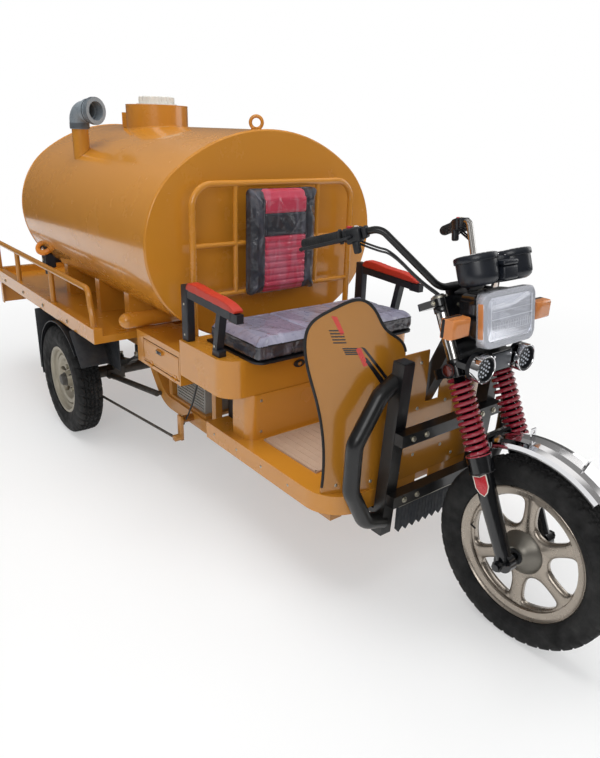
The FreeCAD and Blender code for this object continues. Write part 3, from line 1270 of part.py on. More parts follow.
def bar_control():
    """Switch housing round the bar with its lever ahead of the grip."""
    inner, outer = GRIP_L + 6, GRIP_L + 6 + SWITCH_L
    housing = cylinder(SWITCH_R, along_grip(outer), along_grip(inner))
    route = [tuple(V(*along_grip(outer - 20)) + V(10, -4, 0)),
             tuple(V(*along_grip(inner + 6)) + V(38, -30, -2)),
             tuple(V(*along_grip(4)) + V(32, -42, -8))]
    bore = cylinder(BAR_R + CURVE_GAP, along_grip(outer + 20), along_grip(inner - 40))
    return fuse([housing, tube(route, LEVER_R, 16)]).cut(bore)


parts = {
    "tank_heads": Part.makeCompound([tank_head(TANK_FRONT_X - HEAD_T, TANK_FRONT_X),
                                     tank_head(TANK_REAR_X, TANK_REAR_X)]),
    "filler_cap": filler_cap(),
    "tank_shell": tank_shell(),
    "vent_elbow": vent_elbow(),
    "tank_pipes": tank_pipes(),
    "drain_valve": drain_valve(),
    "tank_cradles": tank_cradles(),
    "bed": bed(),
    "bed_rails": Part.makeCompound([side_rail(-1), side_rail(1)]),
    "rear_panel": rear_panel(),
    "tail_lamps": both(tail_lamp()),
    "main_frame": main_frame(),
    "front_frame": front_frame(),
    "rear_axle": rear_axle(),
    "leaf_springs": both(leaf_spring()),
    "brake_rod": brake_rod(),
    "rear_mudguards": both(mudguard()),
    "seat_tray": seat_tray(),
    "tool_boxes": both(tool_box()),
    "tool_door_right": mirror(tool_door()),
    "tool_door_left": tool_door(),
    "battery_box": battery_box(),
    "battery_pack": battery_pack(),
    "control_box": control_box(),
    "seat_base": seat_base(),
    "seat_cushion": seat_cushion(),
    "backrest": backrest(),
    "seat_rack": seat_rack(),
    "armrest_frames": both(armrest_frame()),
    "armrest_pads": both(armrest_pad()),
    "floor_pan": floor_pan(),
    "floor_mat": floor_mat(),
    "leg_shield": leg_shield(),
    "bumper": bumper(),
    "mud_flap": mud_flap(),
    "front_rim": front_rim(),
    "front_tyre": front_tyre(),
    "front_axle": front_axle(),
    "rear_rim_right": rear_rim(-1),
    "rear_tyre_right": rear_tyre(-1),
    "rear_rim_left": rear_rim(1),
    "rear_tyre_left": rear_tyre(1),
    "fork_lowers": fork_lowers(),
    "fork_stanchions": both(fork_stanchion()),
    "fork_springs": both(fork_spring()),
    "fork_yokes": fork_yokes(),
    "front_fender": front_fender(),
    "headlamp_shell": headlamp_shell(),
    "headlamp_glass": headlamp_glass(),
    "lamp_bracket": lamp_bracket(),
    "spot_lamps": both(spot_lamp()),
    "amber_lamps": amber_lamps(),
    "gauge_pods": gauge_pods(),
    "handlebar": handlebar(),
    "grips": both(grip()),
    "bar_controls": both(bar_control()),
}

for name, shape in parts.items():
    moved = shape.copy()
    moved.translate(V(-MIDDLE_X, 0, 0))
    moved.exportStep(os.path.join("parts", name + ".step"))
    bound = moved.BoundBox
    print("%-18s solids %d valid %s volume %.0f x %.0f %.0f y %.0f %.0f z %.0f %.0f" % (
        name, len(moved.Solids), moved.isValid(), moved.Volume, bound.XMin, bound.XMax, bound.YMin,
        bound.YMax, bound.ZMin, bound.ZMax))
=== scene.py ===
"""Looks of a three-wheeled cargo vehicle with an oval tank: detail meshes, finishes, light and camera."""
import logging
import math
from dataclasses import dataclass
from enum import Enum
from typing import Callable, Sequence

import bmesh
import bpy
from mathutils import Matrix, Vector


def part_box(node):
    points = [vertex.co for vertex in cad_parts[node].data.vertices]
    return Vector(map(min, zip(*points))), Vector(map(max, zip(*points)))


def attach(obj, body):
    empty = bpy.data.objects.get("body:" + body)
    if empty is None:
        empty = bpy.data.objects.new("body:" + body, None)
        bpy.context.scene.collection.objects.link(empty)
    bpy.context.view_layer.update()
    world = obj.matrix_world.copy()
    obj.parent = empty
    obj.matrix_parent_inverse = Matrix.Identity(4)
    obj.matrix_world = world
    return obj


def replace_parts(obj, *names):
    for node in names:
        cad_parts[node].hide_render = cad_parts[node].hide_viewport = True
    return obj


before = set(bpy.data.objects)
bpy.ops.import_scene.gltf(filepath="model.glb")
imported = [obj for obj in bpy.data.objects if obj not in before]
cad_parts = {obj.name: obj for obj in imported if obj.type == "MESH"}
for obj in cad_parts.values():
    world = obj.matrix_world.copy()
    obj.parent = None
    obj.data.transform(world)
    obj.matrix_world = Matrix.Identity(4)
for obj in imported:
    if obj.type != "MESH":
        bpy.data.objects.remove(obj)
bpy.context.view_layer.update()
LOG = logging.getLogger("cargo_vehicle")

# Millimetres from the rear axle to the middle of the frame
MIDDLE = 705.5
AHEAD, UP = Vector((1, 0, 0)), Vector((0, 0, 1))
Profile = Sequence[tuple[float, float]]
Point = tuple[float, float, float]
Colour = tuple[float, float, float, float]
Feed = bpy.types.Node | tuple[bpy.types.Node, int | str]


def at(x: float, y: float, z: float) -> Vector:
    """The frame's place for x forward of the rear axle, y to the left and z above the floor, in millimetres."""
    return Vector(((x - MIDDLE) / 1000.0, y / 1000.0, z / 1000.0))


def from_axle(place: Vector) -> Point:
    """The way back: millimetres from the rear axle for a place in the frame's metres."""
    return (place.x * 1000 + MIDDLE, place.y * 1000, place.z * 1000)


def linear(code: str) -> Colour:
    """Turns an sRGB hex colour into linear light.

    Args:
        code: Six hex digits after a hash sign.

    Returns:
        Red, green, blue and full opacity.
    """
    parts = [int(code[i:i + 2], 16) / 255.0 for i in (1, 3, 5)]
    lit = [c / 12.92 if c <= 0.04045 else ((c + 0.055) / 1.055) ** 2.4 for c in parts]
    return (*lit, 1.0)


class Wiring:
    """The node tree of a finish or of the world under way.

    What feeds an input is a node, for its first output, or a pair of a node and the output's number or name.
    """

    def __init__(self, tree: bpy.types.NodeTree) -> None:
        """Takes a node tree and adds texture coordinates to it.

        Args:
            tree: The node tree.
        """
        self.tree = tree
        self.shader = tree.nodes.get("Principled BSDF")
        self.place = (self.add("TexCoord"), "Object")

    def add(self, kind: str, inputs: dict | None = None) -> bpy.types.Node:
        """Adds a node with its settings and links.

        Args:
            kind: Blender's name of the node type, after the word ShaderNode.
            inputs: Attribute names, input names or input numbers, each with its value or feed.

        Returns:
            The new node.
        """
        node = self.tree.nodes.new("ShaderNode" + kind)
        for key, value in (inputs or {}).items():
            if isinstance(value, bpy.types.Node):
                self.tree.links.new(value.outputs[0], node.inputs[key])
            elif isinstance(value, tuple) and isinstance(value[0], bpy.types.Node):
                self.tree.links.new(value[0].outputs[value[1]], node.inputs[key])
            elif isinstance(key, str) and key[0].islower():
                setattr(node, key, value)
            else:
                node.inputs[key].default_value = value
        return node

    def cloud(self, size: float, detail: float, feed: Feed | None = None, **more: float) -> bpy.types.Node:
        """Adds a noise texture with patches of a size in millimetres."""
        return self.add("TexNoise", {"Scale": 1000.0 / size, "Detail": detail, "Vector": feed or self.place, **more})

    def cells(self, size: float, feed: Feed | None = None) -> bpy.types.Node:
        """Adds a texture that is dark along the edges of cells of a size in millimetres."""
        return self.add("TexVoronoi", {"feature": "DISTANCE_TO_EDGE", "Scale": 1000.0 / size,
                                       "Vector": feed or self.place})

    def waves(self, scale: float) -> Feed:
        """Adds a texture of bands along y, and gives their brightness."""
        return (self.add("TexWave", {"bands_direction": "Y", "Scale": scale, "Distortion": 0.0,
                                     "Vector": self.place}), 1)

    def span(self, feed: Feed, start: float, end: float, low: float = 0.0, high: float = 1.0,
             curve: str = "LINEAR") -> bpy.types.Node:
        """Adds a map from the range between start and end to that between low and high."""
        return self.add("MapRange", {"interpolation_type": curve, "From Min": start, "From Max": end, "To Min": low,
                                     "To Max": high, "Value": feed})

    def join(self, operation: str, first: Feed, second: Feed | float) -> bpy.types.Node:
        """Adds a sum, product or other operation of Blender's Math node on two numbers."""
        return self.add("Math", {"operation": operation, 0: first, 1: second})

    def blend(self, amount: Feed, low: Feed | Colour, high: Feed | Colour) -> Feed:
        """Adds a mix of two colours, and gives the mixed colour."""
        return (self.add("Mix", {"data_type": "RGBA", 0: amount, 6: low, 7: high}), 2)

    def bump(self, height: Feed, strength: float, depth: float, normal: str = "Normal") -> None:
        """Gives one of the shader's normals a relief with its full height in metres."""
        node = self.add("Bump", {"Strength": strength, "Distance": depth, "Height": height})
        self.tree.links.new(node.outputs[0], self.shader.inputs[normal])

    def seen(self) -> bpy.types.Node:
        """Adds a number that is one for camera, mirrored and see-through rays.

        Returns:
            The node.
        """
        path = self.add("LightPath")
        direct = self.join("MAXIMUM", (path, "Is Camera Ray"), (path, "Is Glossy Ray"))
        return self.join("MAXIMUM", direct, (path, "Is Transmission Ray"))


class Mottle(Enum):
    """How far a colour wanders over a surface."""

    EVEN = 0.03
    HANDLED = 0.08
    ROUGH_USE = 0.16


@dataclass(frozen=True)
class Finish:
    """A finish that a piece of the vehicle can wear."""

    name: str
    colour: str
    roughness: float = 0.5
    metallic: float = 0.0
    mottle: Mottle = Mottle.EVEN
    mottle_mm: float = 220.0
    grain_mm: float = 3.0
    grain_depth: float = 0.02
    coat: float = 0.0
    dust: float = 0.0

    def build(self) -> bpy.types.Material:
        """Makes the finish as a node material.

        Returns:
            The material, or the one already made.
        """
        known = bpy.data.materials.get(self.name)
        if known:
            return known
        material = bpy.data.materials.new(self.name)
        material.use_nodes = True
        nodes = Wiring(material.node_tree)
        patches = nodes.cloud(self.mottle_mm * 0.35, 6.0, Roughness=0.6)
        rough = nodes.span(patches, 0.3, 0.7, self.roughness * 0.8, min(1.0, self.roughness * 1.25))
        colour, colour_out = self.tone(nodes)
        inputs = nodes.shader.inputs
        inputs["Metallic"].default_value = self.metallic
        inputs["Coat Weight"].default_value = self.coat
        inputs["Coat Roughness"].default_value = 0.06
        nodes.tree.links.new(colour.outputs[colour_out], inputs["Base Color"])
        nodes.tree.links.new(rough.outputs[0], inputs["Roughness"])
        self.relief(nodes)
        material.diffuse_color = linear(self.colour)
        return material

    def tone(self, nodes: Wiring) -> Feed:
        """Colour that wanders between a darker and a lighter tone, with dust low on the vehicle.

        Args:
            nodes: The material's nodes.

        Returns:
            The colour.
        """
        base = linear(self.colour)[:3]
        low = (*(c * (1.0 - self.mottle.value) for c in base), 1.0)
        high = (*(min(1.0, c * (1.0 + self.mottle.value)) for c in base), 1.0)
        mixed = nodes.blend(nodes.cloud(self.mottle_mm, 4.0), low, high)
        if not self.dust:
            return mixed
        rise = (nodes.add("SeparateXYZ", {0: nodes.place}), 2)
        fall = nodes.span(rise, 0.0, 0.55, self.dust, 0.0)
        return nodes.blend(nodes.join("MULTIPLY", fall, nodes.cloud(26.0, 8.0)), mixed, linear("#8c8375"))

    def relief(self, nodes: Wiring) -> None:
        """Fine relief of the surface."""
        nodes.bump(nodes.cloud(self.grain_mm, 3.0), 0.35, self.grain_depth / 1000.0)


@dataclass(frozen=True)
class GrainedPlastic(Finish):
    """Moulded plastic with a leather-like grain cut into its mould."""

    def relief(self, nodes: Wiring) -> None:
        """Cells of the mould's grain, drawn a little coarse so that they show."""
        nodes.bump(nodes.cells(self.grain_mm), 0.4, self.grain_depth / 1000.0)


@dataclass(frozen=True)
class FilmedLeather(Finish):
    """Synthetic leather still under its clear wrapping film, which lies in sharp creases."""

    mottle: Mottle = Mottle.HANDLED
    mottle_mm: float = 60.0
    grain_mm: float = 2.6
    crease_mm: float = 70.0
    # Share of painted reflection: pale streaks of the room mirrored in the film
    painted_sheen: float = 0.28

    def tone(self, nodes: Wiring) -> Feed:
        """Leather seen through film, with long streaks painted pale blue-white as painted reflection of the room in
        the film.

        Args:
            nodes: The material's nodes.

        Returns:
            The colour.
        """
        turned = nodes.add("Mapping", {"Rotation": (0.3, 0.2, 0.7), "Scale": (1.0, 3.2, 1.0), "Vector": nodes.place})
        streaks = nodes.cloud(self.crease_mm * 1.6, 3.0, turned, Distortion=0.5)
        sheen_amount = nodes.span(streaks, 0.46, 0.84, 0.0, self.painted_sheen)
        # The pale blue-white #b4b3c6 is painted reflection of the room in the film
        return nodes.blend(sheen_amount, super().tone(nodes), linear("#b4b3c6"))

    def relief(self, nodes: Wiring) -> None:
        """Leather cells below, creased film above.

        Args:
            nodes: The material's nodes.
        """
        nodes.bump(nodes.cells(self.grain_mm), 0.3, 0.0003)
        bend = nodes.cloud(self.crease_mm * 1.6, 2.0)
        pushed = nodes.add("VectorMath", {"operation": "MULTIPLY_ADD", 0: (bend, 1), 1: (0.09, 0.09, 0.09),
                                          2: nodes.place})
        sharp = nodes.span(nodes.cells(self.crease_mm, pushed), 0.0, 0.22, 1.0, 0.0)
        nodes.bump(nodes.join("ADD", sharp, nodes.cloud(24.0, 5.0, pushed)), 0.9, 0.004, "Coat Normal")


@dataclass(frozen=True)
class LampLens(Finish):
    """Clear or coloured lens plastic with flutes moulded inside."""

    alpha: float = 0.45
    flute_mm: float = 9.0

    def build(self) -> bpy.types.Material:
        """Makes the lens, which lets the reflector show.

        Returns:
            The material.
        """
        material = super().build()
        material.node_tree.nodes["Principled BSDF"].inputs["Alpha"].default_value = self.alpha
        return material

    def relief(self, nodes: Wiring) -> None:
        """Upright flutes across the lens."""
        nodes.bump(nodes.waves(1000.0 / self.flute_mm / 3.1416), 0.6, 0.0012)


@dataclass(frozen=True)
class Rubber(Finish):
    """Moulded rubber with bloom and road dust."""

    def tone(self, nodes: Wiring) -> Feed:
        """Black that greys where dust holds.

        Args:
            nodes: The material's nodes.

        Returns:
            The colour.
        """
        edge = nodes.span(nodes.cloud(self.mottle_mm, 8.0), 0.45, 0.75)
        amount = nodes.join("MULTIPLY", edge, 0.35 + self.dust)
        return nodes.blend(amount, linear(self.colour), linear("#3b3a38"))


@dataclass(frozen=True)
class PaleFloor(Finish):
    """Painted studio floor that fades into the white of the room away from the vehicle."""

    near: float = 1.2
    far: float = 4.4
    least: float = 0.38

    def build(self) -> bpy.types.Material:
        """Makes the paint, then lets camera, mirrors and glass see it fade to white.

        Returns:
            The material.
        """
        material = super().build()
        nodes = Wiring(material.node_tree)
        gap = (nodes.add("VectorMath", {"operation": "LENGTH", 0: nodes.place}), "Value")
        fade = nodes.span(gap, self.near, self.far, self.least, 1.0, "SMOOTHSTEP")
        white = nodes.add("Emission", {"Color": linear("#ffffff"), "Strength": 1.0})
        mix = nodes.add("MixShader", {0: nodes.join("MULTIPLY", fade, nodes.seen()), 1: nodes.shader, 2: white})
        nodes.tree.links.new(mix.outputs[0], nodes.tree.nodes["Material Output"].inputs["Surface"])
        return material


@dataclass(frozen=True)
class GreyFlag:
    """Cloth flags round and over the studio that only gloss and chrome mirror, with bright strips overhead."""

    name: str = "studio_flag_cloth"
    low: float = 0.06
    high: float = 0.32
    ceiling: float = 5.0
    strip: float = 0.9
    strip_mm: float = 2600.0

    def build(self) -> bpy.types.Material:
        """Makes the cloth: clear to every ray but a mirrored one.

        Returns:
            The material.
        """
        material = bpy.data.materials.new(self.name)
        material.use_nodes = True
        material.node_tree.nodes.clear()
        nodes = Wiring(material.node_tree)
        height = (nodes.add("SeparateXYZ", {0: nodes.place}), 2)
        rise = nodes.span(height, 0.3, self.ceiling, self.low, self.high)
        strip = nodes.span(nodes.waves(1000.0 / self.strip_mm * 0.314), 0.8, 0.97, 0.0, self.strip, "SMOOTHSTEP")
        strip = nodes.join("MULTIPLY", strip, nodes.join("GREATER_THAN", height, self.ceiling))
        glow = nodes.add("Emission", {"Color": linear("#f4f2f0"), "Strength": nodes.join("ADD", strip, rise)})
        mirrored = (nodes.add("LightPath"), "Is Glossy Ray")
        mix = nodes.add("MixShader", {0: mirrored, 1: nodes.add("BsdfTransparent"), 2: glow})
        nodes.add("OutputMaterial", {0: mix})
        return material


# Pale painted studio floor
FLOOR = PaleFloor("pale_studio_floor", "#f3f3f2", 0.85, mottle_mm=4000, grain_mm=40.0)
# Baked gloss enamel on sheet steel: an even warm yellow with a clear wet gloss and faint orange peel
ENAMEL = Finish("ochre_gloss_enamel", "#c28128", 0.24, mottle_mm=420, grain_mm=4.0,
                grain_depth=0.05, coat=0.55)
# The same enamel a little darker and duller, with dust near the road; worn underneath, by the rails and by the brake
# rod's front end
ENAMEL_LOW = Finish("ochre_enamel_dusty", "#b47722", 0.34, mottle=Mottle.HANDLED, mottle_mm=160, grain_mm=4.0,
                    grain_depth=0.06, coat=0.35, dust=0.5)
# Powder-coated tube: black with a soft gloss and a fine pebbled skin
POWDER_BLACK = Finish("powder_coated_steel", "#090a0c", 0.34, mottle=Mottle.HANDLED, mottle_mm=120, grain_mm=1.8,
                      grain_depth=0.05, coat=0.15, dust=0.08)
# Black chassis paint under the vehicle, dull with dust
CHASSIS_BLACK = Finish("chassis_paint", "#161719", 0.5, mottle=Mottle.ROUGH_USE, mottle_mm=70, grain_mm=2.4,
                       grain_depth=0.12, dust=0.8)
# Bright electroplated chrome over steel: near mirror, with faint handling smears
CHROME = Finish("electroplated_chrome", "#e2e2e4", 0.07, 1.0, Mottle.EVEN, 60, 12.0, 0.02)
# Zinc-plated fasteners: grey, slightly yellow and matt
ZINC = Finish("zinc_plated_steel", "#b9b5a8", 0.34, 1.0, Mottle.HANDLED, 12, 1.5, 0.03)
# Sand-cast wheel painted silver: warm grey, satin, with the casting's fine pits
CAST_SILVER = Finish("silver_painted_casting", "#a69c90", 0.28, 0.88, Mottle.HANDLED, 90, 1.6, 0.02, coat=0.2)
# Pressed steel wheel disc in beige-silver enamel
DISC_SILVER = Finish("pressed_disc_enamel", "#a39c8c", 0.42, 0.45, Mottle.ROUGH_USE, 60, 2.0, 0.06, dust=0.5)
# Carbon-black tyre compound
TYRE = Rubber("tyre_compound", "#09090a", 0.8, mottle_mm=110, grain_mm=1.5, grain_depth=0.1, dust=0.02)
# Extruded rubber trim and flap
RUBBER = Rubber("extruded_rubber", "#101214", 0.6, mottle_mm=90, grain_mm=1.2, grain_depth=0.08)
# Polypropylene mouldings in black with a fine mould grain
PP_BLACK = GrainedPlastic("moulded_polypropylene", "#14161a", 0.44, grain_mm=2.2, grain_depth=0.1)
# Smooth ABS of the instrument housing, bluish black with a soft shine
ABS_BLACK = GrainedPlastic("instrument_abs", "#161a22", 0.36, grain_mm=1.6, grain_depth=0.05, coat=0.1)
# Polyethylene screw cap: milky white, waxy
PE_WHITE = Finish("polyethylene_cap", "#dcdcd6", 0.46, mottle_mm=60, grain_mm=1.2, grain_depth=0.05)
# Grey PVC pressure fitting: bluish grey and smooth
PVC_GREY = Finish("pvc_pipe_fitting", "#7b8389", 0.28, mottle_mm=70, grain_mm=6.0, grain_depth=0.03)
# Soft red arm pads of integral-skin foam
PAD_RED = GrainedPlastic("integral_foam_red", "#b5301f", 0.42, grain_mm=2.0, grain_depth=0.12)
# Stoved crimson enamel on spring wire
SPRING_RED = Finish("stoved_spring_enamel", "#8c2130", 0.18, mottle=Mottle.HANDLED, mottle_mm=40, grain_mm=1.5,
                    grain_depth=0.03, coat=0.6)
# Seat cover and backrest cover under film, with streaks of painted reflection; the seat's top wears a pale blue-grey
# lit copy of the dark cover, painted reflection of the bright room above
SEAT_TOP_SHEEN = FilmedLeather("seat_top_painted_sheen", "#7e7d90", 0.3, coat=1.0, crease_mm=120.0, painted_sheen=0.6)
SEAT_BLACK = FilmedLeather("seat_leather_filmed", "#2b2b33", 0.44, coat=1.0)
BACK_BLACK = FilmedLeather("backrest_side_filmed", "#1c202a", 0.46, coat=0.9, crease_mm=90.0, painted_sheen=0.2)
BACK_CRIMSON = FilmedLeather("backrest_crimson_filmed", "#b32a45", 0.46, mottle_mm=50, coat=0.9, crease_mm=90.0)
# Ribbed vinyl mat, pinkish beige
MAT = Finish("ribbed_vinyl_mat", "#b69a84", 0.62, mottle=Mottle.HANDLED, mottle_mm=60, grain_mm=1.6, grain_depth=0.12)
# Clear polycarbonate headlamp lens
LENS_CLEAR = LampLens("headlamp_polycarbonate", "#f0f2f9", 0.06, alpha=0.24, flute_mm=7.0, coat=0.6)
# Amber and red acrylic lamp lenses
LENS_AMBER = LampLens("amber_acrylic", "#dd8a48", 0.16, alpha=0.8, flute_mm=7.0, coat=0.5)
# Deep red-brown reflector discs on the fork
REFLEX_MAROON = LampLens("reflex_disc_acrylic", "#5a1d14", 0.18, alpha=0.97, flute_mm=3.0, coat=0.5)
LENS_RED = LampLens("red_acrylic", "#a5141a", 0.14, alpha=0.93, flute_mm=8.0, coat=0.5)
# Vacuum-coated reflector bowl
REFLECTOR = Finish("vacuum_coated_bowl", "#e9ebf2", 0.18, 0.72, Mottle.EVEN, 30, 8.0, 0.03)
# Screen-printed vinyl film of the stripes
FILM_RED = Finish("printed_film_red", "#c8382c", 0.3, mottle_mm=40, coat=0.4)
FILM_BLACK = Finish("printed_film_black", "#16161a", 0.3, mottle_mm=40, coat=0.4)
# Painted cast iron of the drain valve and its orange plastic hand ring
IRON_DARK = Finish("painted_cast_iron", "#20262f", 0.5, mottle=Mottle.ROUGH_USE, mottle_mm=30, grain_mm=2.0,
                   grain_depth=0.2)
RING_ORANGE = Finish("moulded_hand_ring", "#ea8f2c", 0.4, mottle_mm=30)
# Grey enamel of the motor's control box
CONTROL_GREY = Finish("control_box_enamel", "#8f8c86", 0.42, mottle=Mottle.HANDLED, mottle_mm=70, grain_mm=2.0,
                      grain_depth=0.06)
# Gloss black stoving enamel of the fork and its yokes
GLOSS_BLACK = Finish("gloss_black_enamel", "#0b0c0f", 0.22, mottle=Mottle.HANDLED, mottle_mm=80, grain_mm=2.6,
                     grain_depth=0.03, coat=0.5)
# Grey-green die-cast hub, duller than the spokes, and a darker grey as painted shade
HUB_GREY_SHADED = Finish("hub_painted_shade", "#77736b", 0.36, 0.7, Mottle.HANDLED, 50, 1.6, 0.05)
# Moulded ABS of the leg shield in an ochre deeper than the enamel's; the deeper tone is painted shade
SHIELD_OCHRE_SHADED = Finish("shield_gloss_painted_shade", "#a86f20", 0.22, mottle_mm=300, grain_mm=4.0,
                      grain_depth=0.04, coat=0.55)
# Ridges moulded in the headlamp's lens, drawn in opaque near-white as painted highlight of the light they catch
LENS_RIDGE_GLINT = Finish("lens_ridge_painted_glint", "#e4e6ee", 0.1, mottle_mm=20, coat=0.8)
# Blue-grey glass-filled nylon of the armrest frames
ARM_GREY = GrainedPlastic("moulded_nylon_frame", "#1b1e25", 0.42, grain_mm=2.0, grain_depth=0.12)
# Dark ribbed rubber sheet of the flap, bluish with dust
FLAP_RUBBER = Rubber("ribbed_rubber_sheet", "#272a2f", 0.66, mottle_mm=50, grain_mm=1.4, grain_depth=0.1, dust=0.2)
# PVC sheath of the cables
CABLE_BLACK = Finish("pvc_cable_sheath", "#141417", 0.4, mottle=Mottle.HANDLED, mottle_mm=30, grain_mm=2.0,
                     grain_depth=0.04)
# Pad-printed red and pale enamel of the blank fork badges
BADGE_RED = Finish("badge_enamel_red", "#b3222b", 0.28, mottle_mm=20, coat=0.4)
BADGE_PALE = Finish("badge_enamel_pale", "#d9d3c6", 0.3, mottle_mm=20, coat=0.3)
# Epoxy domes of the spot lamps' diodes
DIODE = Finish("diode_epoxy", "#c4c9d2", 0.12, mottle_mm=10, coat=0.6)
# Satin grey plate between the spot lamps
PLATE_GREY = Finish("satin_grey_plate", "#4a4d52", 0.34, 0.4, Mottle.HANDLED, 30, 1.6, 0.03)
# Printed dial card, its marks and the needle's fluorescent red
DIAL_FACE = Finish("printed_dial_card", "#15171c", 0.5, mottle_mm=30)
DIAL_MARK = Finish("dial_mark_ink", "#dfe3e6", 0.5, mottle_mm=20)
NEEDLE = Finish("moulded_needle", "#d8401f", 0.35, mottle_mm=10)
DIAL_GLASS = LampLens("dial_window_acrylic", "#eef2f4", 0.05, alpha=0.12, flute_mm=400.0, coat=0.3)
# Piping of the seat, a harder vinyl
WELT_BLACK = Finish("vinyl_piping", "#17171b", 0.35, mottle=Mottle.HANDLED, mottle_mm=30, coat=0.4)
# Polished chrome sleeve of the fork, warmer where it mirrors the paint
SLEEVE = Finish("polished_fork_sleeve", "#c9c7c4", 0.12, 1.0, Mottle.HANDLED, 40, 9.0, 0.02)
# Moulded pipe thread and lip, in a darker grey than the fitting
PVC_DARK = Finish("pvc_thread_dark_grey", "#4b5157", 0.4, mottle=Mottle.HANDLED, mottle_mm=30, grain_mm=3.0,
                  grain_depth=0.04)


def put(name: str, data: bpy.types.ID) -> bpy.types.Object:
    """Makes an object and links it to the scene.

    Args:
        name: Its name.
        data: Its mesh, lamp or camera.

    Returns:
        The object.
    """
    made = bpy.data.objects.new(name, data)
    bpy.context.scene.collection.objects.link(made)
    return made


def mesh_of(part: bmesh.types.BMesh, name: str) -> bpy.types.Mesh:
    """Ends a mesh under way and frees it.

    Args:
        part: The mesh under way.
        name: Name of the lasting one.

    Returns:
        The lasting mesh.
    """
    mesh = bpy.data.meshes.new(name)
    part.to_mesh(mesh)
    part.free()
    return mesh


